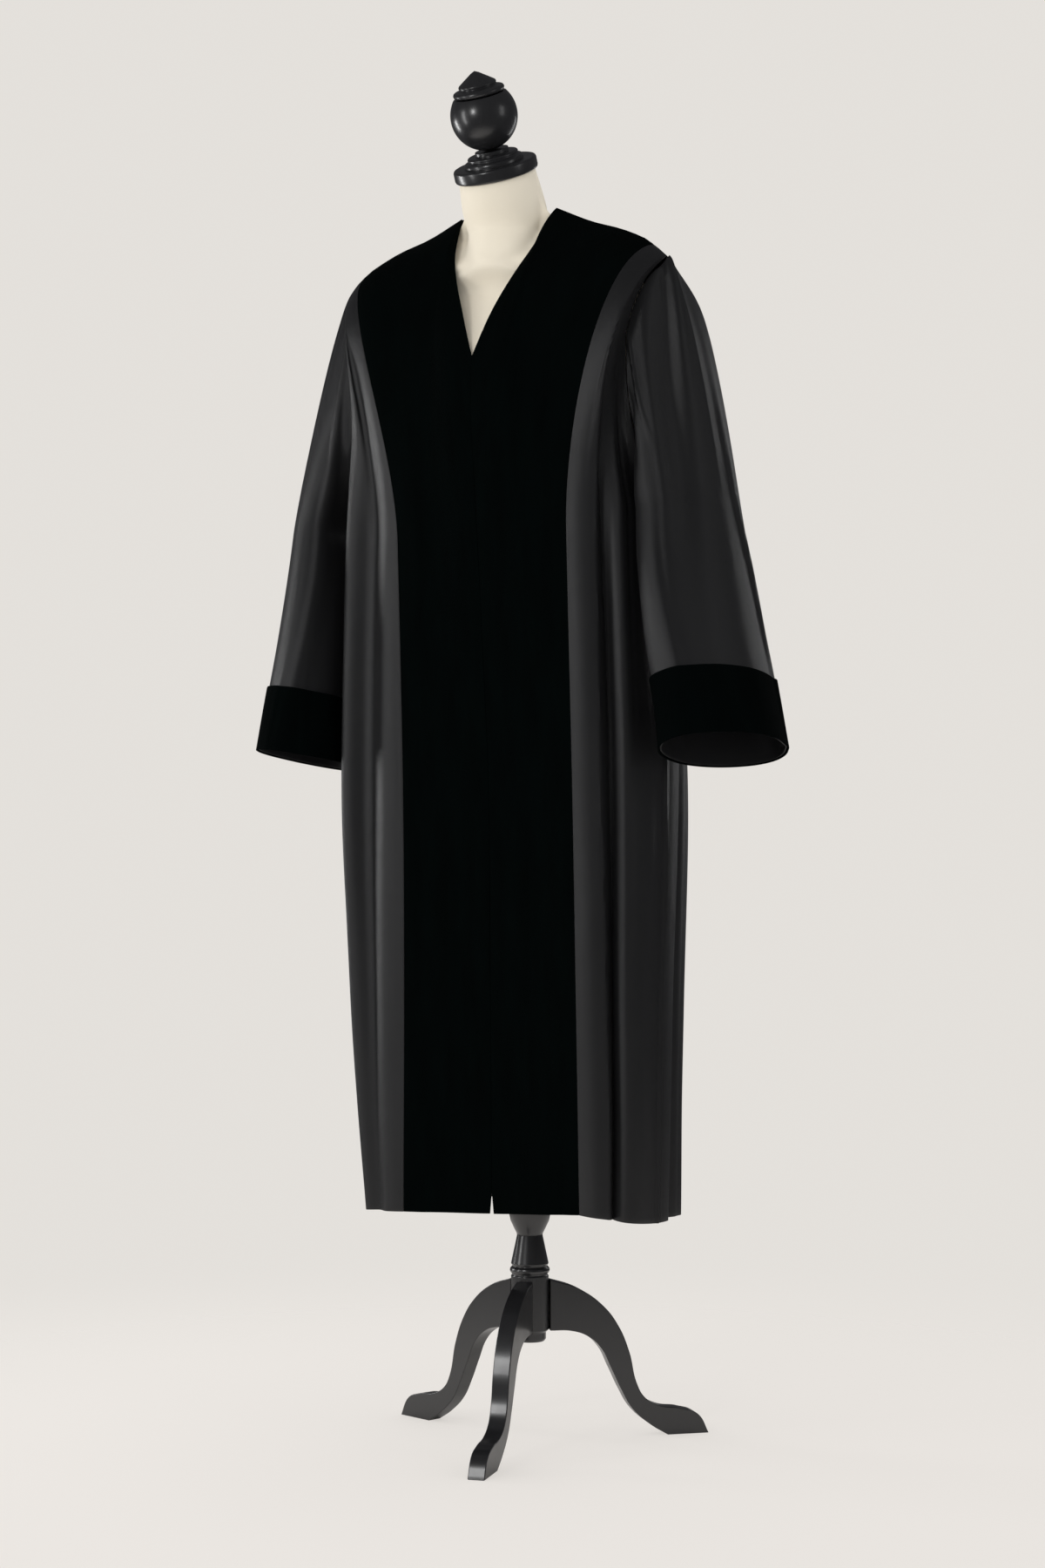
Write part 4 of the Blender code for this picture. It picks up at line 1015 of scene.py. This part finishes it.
def wool_finish(colours):
    """Fine black wool: a twill weave, a faint bloom, and slight lighter wear."""
    made = Finish(
        "black_wool",
        colours.wool,
        Sheen_Weight=0.01,
        Sheen_Roughness=0.40,
        Sheen_Tint=(1.0, 0.97, 0.96, 1),
        Specular_IOR_Level=0.50,
    )
    across, up = threads_of(made)
    twill = (across + up).wave(TWILL_PITCH) * 0.5 + (across - up * 0.35).wave(YARN_PITCH) * 0.25
    nap = made.noise(made.place(), 900.0, 2.0)
    slub = made.streaks(made.on_cloth(), (60.0, 700.0, 1.0), 2.0)
    cloud = made.noise(made.place(), 7.0)
    tone = (cloud * 0.6 + nap * 0.25 + slub * 0.15).clamped()
    made.set("Base Color", made.blend(tone, made.shade(0.72), made.shade(1.30)))
    made.set("Roughness", 0.35 + cloud * 0.08)
    weave = made.bump(twill + nap * 0.9 + slub * 0.5, 0.00012, 0.55)
    made.set("Normal", made.bump(made.noise(made.place(), 38.0), 0.0011, 0.35, weave))
    return made.material


def velvet_finish(colours):
    """Black cotton velvet: a deep short pile that is brushed a little unevenly."""
    made = Finish(
        "black_velvet",
        colours.velvet,
        Sheen_Weight=0.004,
        Sheen_Roughness=0.30,
        Sheen_Tint=(0.88, 1.0, 1.0, 1),
        Specular_IOR_Level=0.015,
    )
    brushed = made.streaks(made.on_cloth(), (34.0, 9.0, 1.0), 4.0)
    pile = made.noise(made.place(), 1400.0, 2.0)
    tufts = made.streaks(made.on_cloth(), (1100.0, 420.0, 1.0), 2.0)
    tone = (brushed * 0.75 + pile * 0.25).clamped()
    made.set("Base Color", made.blend(tone, made.shade(0.35), made.shade(1.1, 1.9, 1.8)))
    made.set("Roughness", 0.88 + brushed * 0.10)
    made.set("Normal", made.bump(brushed, 0.0012, 0.35, made.bump(pile + tufts, 0.00030, 0.8)))
    return made.material


def form_finish(colours):
    """Cream jersey drawn over the form: a fine knit with a warm uneven tone."""
    made = Finish(
        "cream_jersey", colours.form, Sheen_Weight=0.08, Sheen_Roughness=0.5, Specular_IOR_Level=0.25
    )
    across, up = threads_of(made)
    knit = across.wave(KNIT_WIDE) * up.wave(KNIT_LONG)
    cloud = made.noise(made.place(), 6.0)
    made.set("Base Color", made.blend(cloud, made.shade(0.95), made.shade(1.04)))
    made.set("Roughness", 0.80 + cloud * 0.10)
    made.set("Normal", made.bump(knit + made.noise(made.place(), 500.0) * 0.6, 0.00015, 0.5))
    return made.material


def lacquer_finish(colours):
    """Black satin lacquer on wood: faint grain, soft brush ripple and a little uneven gloss."""
    made = Finish(
        "black_lacquer", colours.lacquer, Specular_IOR_Level=0.75, Coat_Weight=0.40, Coat_Roughness=0.16
    )
    grain = made.streaks(made.place(), (260.0, 260.0, 22.0), 3.0)
    ripple = made.noise(made.place(), 55.0, 2.0)
    made.set("Base Color", made.blend(grain, made.shade(0.85), made.shade(1.25)))
    made.set("Roughness", 0.25 + ripple * 0.08 + grain * 0.03)
    made.set("Normal", made.bump(grain * 0.4 + ripple, 0.00012, 0.22))
    return made.material


# ---------------------------------------- the user's sizes and colours


def length(name, description, default):
    kind = {"unit": "LENGTH", "subtype": "DISTANCE", "precision": 4}
    return bpy.props.FloatProperty(name=name, description=description, default=default, min=0, **kind)


def colour(name, description, default):
    kind = {"size": 3, "min": 0, "max": 1, "subtype": "COLOR"}
    return bpy.props.FloatVectorProperty(name=name, description=description, default=default, **kind)


class RobeSizes(bpy.types.PropertyGroup):
    """Sizes of the robe and its stand."""

    wool: length("Wool", "Thickness of the wool wall", 0.0015)
    velvet: length("Velvet", "Thickness of the velvet wall with its pile", 0.0020)
    seam_gap: length("Seam gap", "Gap between two pieces at a seam", 0.0003)
    slit_width: length("Slit width", "Width of the front opening at the hem", 0.0050)
    slit_height: length("Slit height", "Height above the hem at which the fronts meet", 0.026)
    leg_board: length("Leg board", "Thickness of the boards that the legs are sawn from", 0.021)
    fold_strength: bpy.props.FloatProperty(
        name="Folds",
        description="Strength of the folds, 1 as sewn",
        default=1.0,
        min=0,
        max=2,
        subtype="FACTOR",
    )


class RobeColours(bpy.types.PropertyGroup):
    """Colours of the robe, its stand and the stage."""

    wool: colour("Wool", "Colour of the wool", (0.0095, 0.0095, 0.0103))
    velvet: colour("Velvet", "Colour of the velvet", (0.0011, 0.0015, 0.0015))
    form: colour("Form", "Colour of the jersey on the form", (0.910, 0.830, 0.680))
    lacquer: colour("Lacquer", "Colour of the lacquer on stand and cap", (0.0120, 0.0120, 0.0130))
    backdrop: colour("Backdrop", "Colour of the backdrop", (0.775, 0.748, 0.712))
    floor: colour("Floor", "Colour of the floor", (0.761, 0.730, 0.694))
    floor_glow: colour("Floor glow", "Colour that evens out the floor as seen", (0.900, 0.862, 0.820))


def sizes():
    return bpy.context.scene.robe_sizes


def colours():
    return bpy.context.scene.robe_colours


def finish_named(name):
    """The finish of this name, made the first time that it is asked for."""
    makers = {
        "black_wool": wool_finish,
        "black_velvet": velvet_finish,
        "cream_jersey": form_finish,
        "black_lacquer": lacquer_finish,
    }
    return bpy.data.materials.get(name) or makers[name](colours())


# ---------------------------------------- the operators


class ROBE_OT_fronts(bpy.types.Operator):
    """Make the two velvet bands and the two wool fronts"""

    bl_idname = "robe.fronts"
    bl_label = "Fronts and velvet bands"

    def execute(self, context):
        for side, placed in zip(SIDES, (np.array, mirrored)):
            grid = placed(velvet_front(side))
            band = cloth(f"velvet_band_{side}", grid, "velvet", f"velvet_front_{side}")
            keep_to_side(band, side)
            grid = placed(wool_front(side))
            cloth(f"front_panel_{side}", grid, "wool", f"wool_front_{side}")
        return {"FINISHED"}


class ROBE_OT_back(bpy.types.Operator):
    """Make the wool back"""

    bl_idname = "robe.back"
    bl_label = "Back"

    def execute(self, context):
        cloth("back_panel", wool_back(), "wool", "wool_back")
        return {"FINISHED"}


class ROBE_OT_sleeves(bpy.types.Operator):
    """Make the two sleeves and their velvet cuffs"""

    bl_idname = "robe.sleeves"
    bl_label = "Sleeves and cuffs"

    def execute(self, context):
        for side, placed in zip(SIDES, (np.array, mirrored)):
            arm = sleeve(side)
            made, holds = f"sleeve_cloth_{side}", [f"front_panel_{side}", "back_panel"]
            cloth(made, placed(trim(arm, RIM_TRIM)), "wool", f"sleeve_{side}", closed=True)
            cloth(f"cuff_band_{side}", placed(cuff(arm)), "velvet", f"cuff_{side}", closed=True)
        return {"FINISHED"}


class ROBE_OT_form(bpy.types.Operator):
    """Make the covered dress form from hips to neck"""

    bl_idname = "robe.form"
    bl_label = "Dress form"

    def execute(self, context):
        made = laid_grid("covered_form", form_grid(), True)
        in_edit_mode(made, lambda: bpy.ops.mesh.fill_holes(sides=0))
        round_edges(made, *FORM_EDGES)
        finish_piece(made, finish_named("cream_jersey"), "form_torso", FORM_SHARP)
        even_shading(made)
        return {"FINISHED"}


class ROBE_OT_neck_cap(bpy.types.Operator):
    """Make the turned plate, ball and pointed cap on the neck"""

    bl_idname = "robe.neck_cap"
    bl_label = "Neck cap"

    def execute(self, context):
        height, centre, _, lean = NECK[-1]
        leaning = Matrix.Rotation(math.radians(lean), 4, "X")
        placed = Matrix.Translation((0, POLE_Y + centre, height)) @ leaning
        turned("turned_neck_plate", PLATE, "neck_plate", placed)
        ball, first = [(0, BALL_HIGH)], math.asin((BALL_HIGH - BALL_CENTRE) / BALL_RADIUS)
        for angle in np.linspace(first, -math.pi / 2, BALL_RINGS):
            ring = (BALL_RADIUS * math.cos(angle), BALL_CENTRE + BALL_RADIUS * math.sin(angle))
            if ring[1] < BALL_LOW:
                break
            ball.append(ring)
        foot = math.sqrt(BALL_RADIUS**2 - (BALL_LOW - BALL_CENTRE) ** 2)
        turned("turned_neck_ball", ball + [(foot, BALL_LOW), (0, BALL_LOW)], "neck_ball", placed)
        turned("turned_finial", FINIAL, "neck_finial", placed)
        return {"FINISHED"}


class ROBE_OT_stand(bpy.types.Operator):
    """Make the turned column and the three legs"""

    bl_idname = "robe.stand"
    bl_label = "Column and legs"

    def execute(self, context):
        turned("turned_column", COLUMN, "stand_column", Matrix.Translation((0, POLE_Y, 0)))
        board = sawn_board()
        for i, place in enumerate(("front", "left", "right")):
            leg(board, f"sawn_leg_{place}", LEG_AT + i * TURN / 3, f"leg_{place}")
        bpy.data.meshes.remove(board.data)
        return {"FINISHED"}


# ---------------------------------------- the stage

VIEW_TURN = math.radians(28)  # the camera's place, round from straight ahead to the wearer's left
VIEW_FROM = np.array([math.sin(VIEW_TURN), -math.cos(VIEW_TURN)])
VIEW_RIGHT = np.array([math.cos(VIEW_TURN), math.sin(VIEW_TURN)])
VIEW_DISTANCE, VIEW_HEIGHT, VIEW_ASIDE = 3.38, 0.715, -0.009
LENS, SENSOR, LENS_RISE, VIEW_END = 63, 36, 0.0483333333, 100
FLOOR_RADIUS, FLOOR_ROUND, FLOOR_GLOW = 3.2, 128, 0.65
FLOOR_FADE_FROM, FLOOR_FADE_OVER = 0.55, 1.1
ROOM_LIGHT, ROOM_IN_GLOSS = (0.78, 0.78, 0.785, 1), (0.065, 0.065, 0.068, 1)
# Each soft box looks at a height on the robe's middle line. Its angle is taken anticlockwise from the
# camera's direction, seen from above.
SOFT_BOXES = (
    # name           angle rise distance wide high power aimed at
    ("key_soft_box", 36, 12, 2.9, 0.45, 0.55, 11, 1.0),
    ("far_side_box", 72, 6, 2.6, 0.4, 1.6, 10, 0.8),
    ("far_back_box", 116, 5, 2.6, 0.4, 1.0, 13, 0.8),
    ("near_fill_box", -62, 18, 3.2, 0.8, 1.4, 4, 1.0),
    ("near_back_box", -140, 8, 2.8, 0.3, 1.4, 3, 1.0),
)


def looking(made, target):
    """Turns a light or the camera to look at a point."""
    away = made.location - Vector(target)
    made.rotation_euler = away.to_track_quat("Z", "Y").to_euler()


def soft_box(name, angle, rise, distance, wide, high, power, aimed_at):
    deselect()
    turn, up, target = math.radians(angle), math.radians(rise), Vector((0, 0, aimed_at))
    flat = math.cos(turn) * VIEW_FROM - math.sin(turn) * VIEW_RIGHT
    place = target + distance * Vector((*(math.cos(up) * flat), math.sin(up)))
    bpy.ops.object.light_add(type="AREA", location=place)
    made = start_piece(name)
    made.data.shape = "RECTANGLE"
    made.data.size, made.data.size_y = wide, high
    made.data.energy = power
    looking(made, target)


class ROBE_OT_stage(bpy.types.Operator):
    """Make the floor, the lights, the backdrop and the camera"""

    bl_idname = "robe.stage"
    bl_label = "Stage"

    def execute(self, context):
        self.floor()
        for box in SOFT_BOXES:
            soft_box(*box)
        self.backdrop()
        self.camera()
        return {"FINISHED"}

    def floor(self):
        """A pale floor that fades into the backdrop, and keeps the stand's shadow."""
        deselect()
        bpy.ops.mesh.primitive_circle_add(vertices=FLOOR_ROUND, radius=FLOOR_RADIUS, fill_type="NGON")
        made = start_piece("floor")
        finish = Finish("pale_floor", colours().floor, Roughness=0.9, Specular_IOR_Level=0.1)
        place = finish.place()
        away = finish.read("ShaderNodeVectorMath", "Value", {"operation": "LENGTH"}, {0: place})
        finish.set("Normal", finish.bump(finish.noise(place, 220.0, 2.0), 0.0002, 0.2))
        fade = ((away - FLOOR_FADE_FROM) * (1 / FLOOR_FADE_OVER)).clamped()
        fade = fade * fade * (3.0 - 2.0 * fade)
        seen = finish.read("ShaderNodeLightPath", "Is Camera Ray") * FLOOR_GLOW
        glow = finish.node("ShaderNodeEmission", {}, {"Color": (*colours().floor_glow, 1)})
        gone = finish.node("ShaderNodeBsdfTransparent")
        lit = finish.node("ShaderNodeMixShader", {}, {0: seen})
        mixed = finish.node("ShaderNodeMixShader", {}, {0: fade})
        join = finish.tree.links.new
        join(finish.shader.outputs[0], lit.inputs[1])
        join(glow.outputs[0], lit.inputs[2])
        join(lit.outputs[0], mixed.inputs[1])
        join(gone.outputs[0], mixed.inputs[2])
        join(mixed.outputs[0], finish.tree.nodes["Material Output"].inputs["Surface"])
        made.data.materials.append(finish.material)

    def backdrop(self):
        """The room's plain light, dimmer in reflections, with the backdrop's colour behind the object."""
        world = bpy.data.worlds.new("studio")
        world.use_nodes = True
        bpy.context.scene.world = world
        nodes = Nodes(world.node_tree)
        seen = nodes.read("ShaderNodeLightPath", "Is Camera Ray")
        glossy = nodes.read("ShaderNodeLightPath", "Is Glossy Ray")
        around = nodes.blend(glossy, ROOM_LIGHT, ROOM_IN_GLOSS)
        background = world.node_tree.nodes["Background"]
        nodes.feed(background.inputs["Color"], nodes.blend(seen, around, (*colours().backdrop, 1)))

    def camera(self):
        deselect()
        place = VIEW_FROM * VIEW_DISTANCE + VIEW_RIGHT * VIEW_ASIDE + (0, POLE_Y)
        bpy.ops.object.camera_add(location=(*place, VIEW_HEIGHT))
        made = start_piece("camera")
        looking(made, made.location - Vector((*VIEW_FROM, 0)))
        made.data.lens = LENS
        made.data.sensor_width = SENSOR
        made.data.shift_y = LENS_RISE
        made.data.clip_end = VIEW_END
        bpy.context.scene.camera = made
        bpy.context.scene.view_settings.view_transform = "Standard"


OPERATORS = (
    ROBE_OT_form,
    ROBE_OT_neck_cap,
    ROBE_OT_stand,
    ROBE_OT_fronts,
    ROBE_OT_back,
    ROBE_OT_sleeves,
    ROBE_OT_stage,
)


class ROBE_PT_panel(bpy.types.Panel):
    """Sizes, colours and steps of the robe on its form"""

    bl_idname = "ROBE_PT_panel"
    bl_label = "Robe on a form"
    bl_space_type = "VIEW_3D"
    bl_region_type = "UI"
    bl_category = "Robe"

    def draw(self, context):
        for group in (context.scene.robe_sizes, context.scene.robe_colours):
            box = self.layout.box()
            for name in group.__annotations__:
                box.prop(group, name)
        for operator in OPERATORS:
            self.layout.operator(operator.bl_idname)


CLASSES = (RobeSizes, RobeColours, *OPERATORS, ROBE_PT_panel)


def register():
    for made in CLASSES:
        bpy.utils.register_class(made)
    bpy.types.Scene.robe_sizes = bpy.props.PointerProperty(type=RobeSizes)
    bpy.types.Scene.robe_colours = bpy.props.PointerProperty(type=RobeColours)


def unregister():
    del bpy.types.Scene.robe_colours
    del bpy.types.Scene.robe_sizes
    for made in reversed(CLASSES):
        bpy.utils.unregister_class(made)


def main():
    register()
    for operator in OPERATORS:
        getattr(bpy.ops.robe, operator.bl_idname.split(".")[1])()


if __name__ == "__main__":
    main()
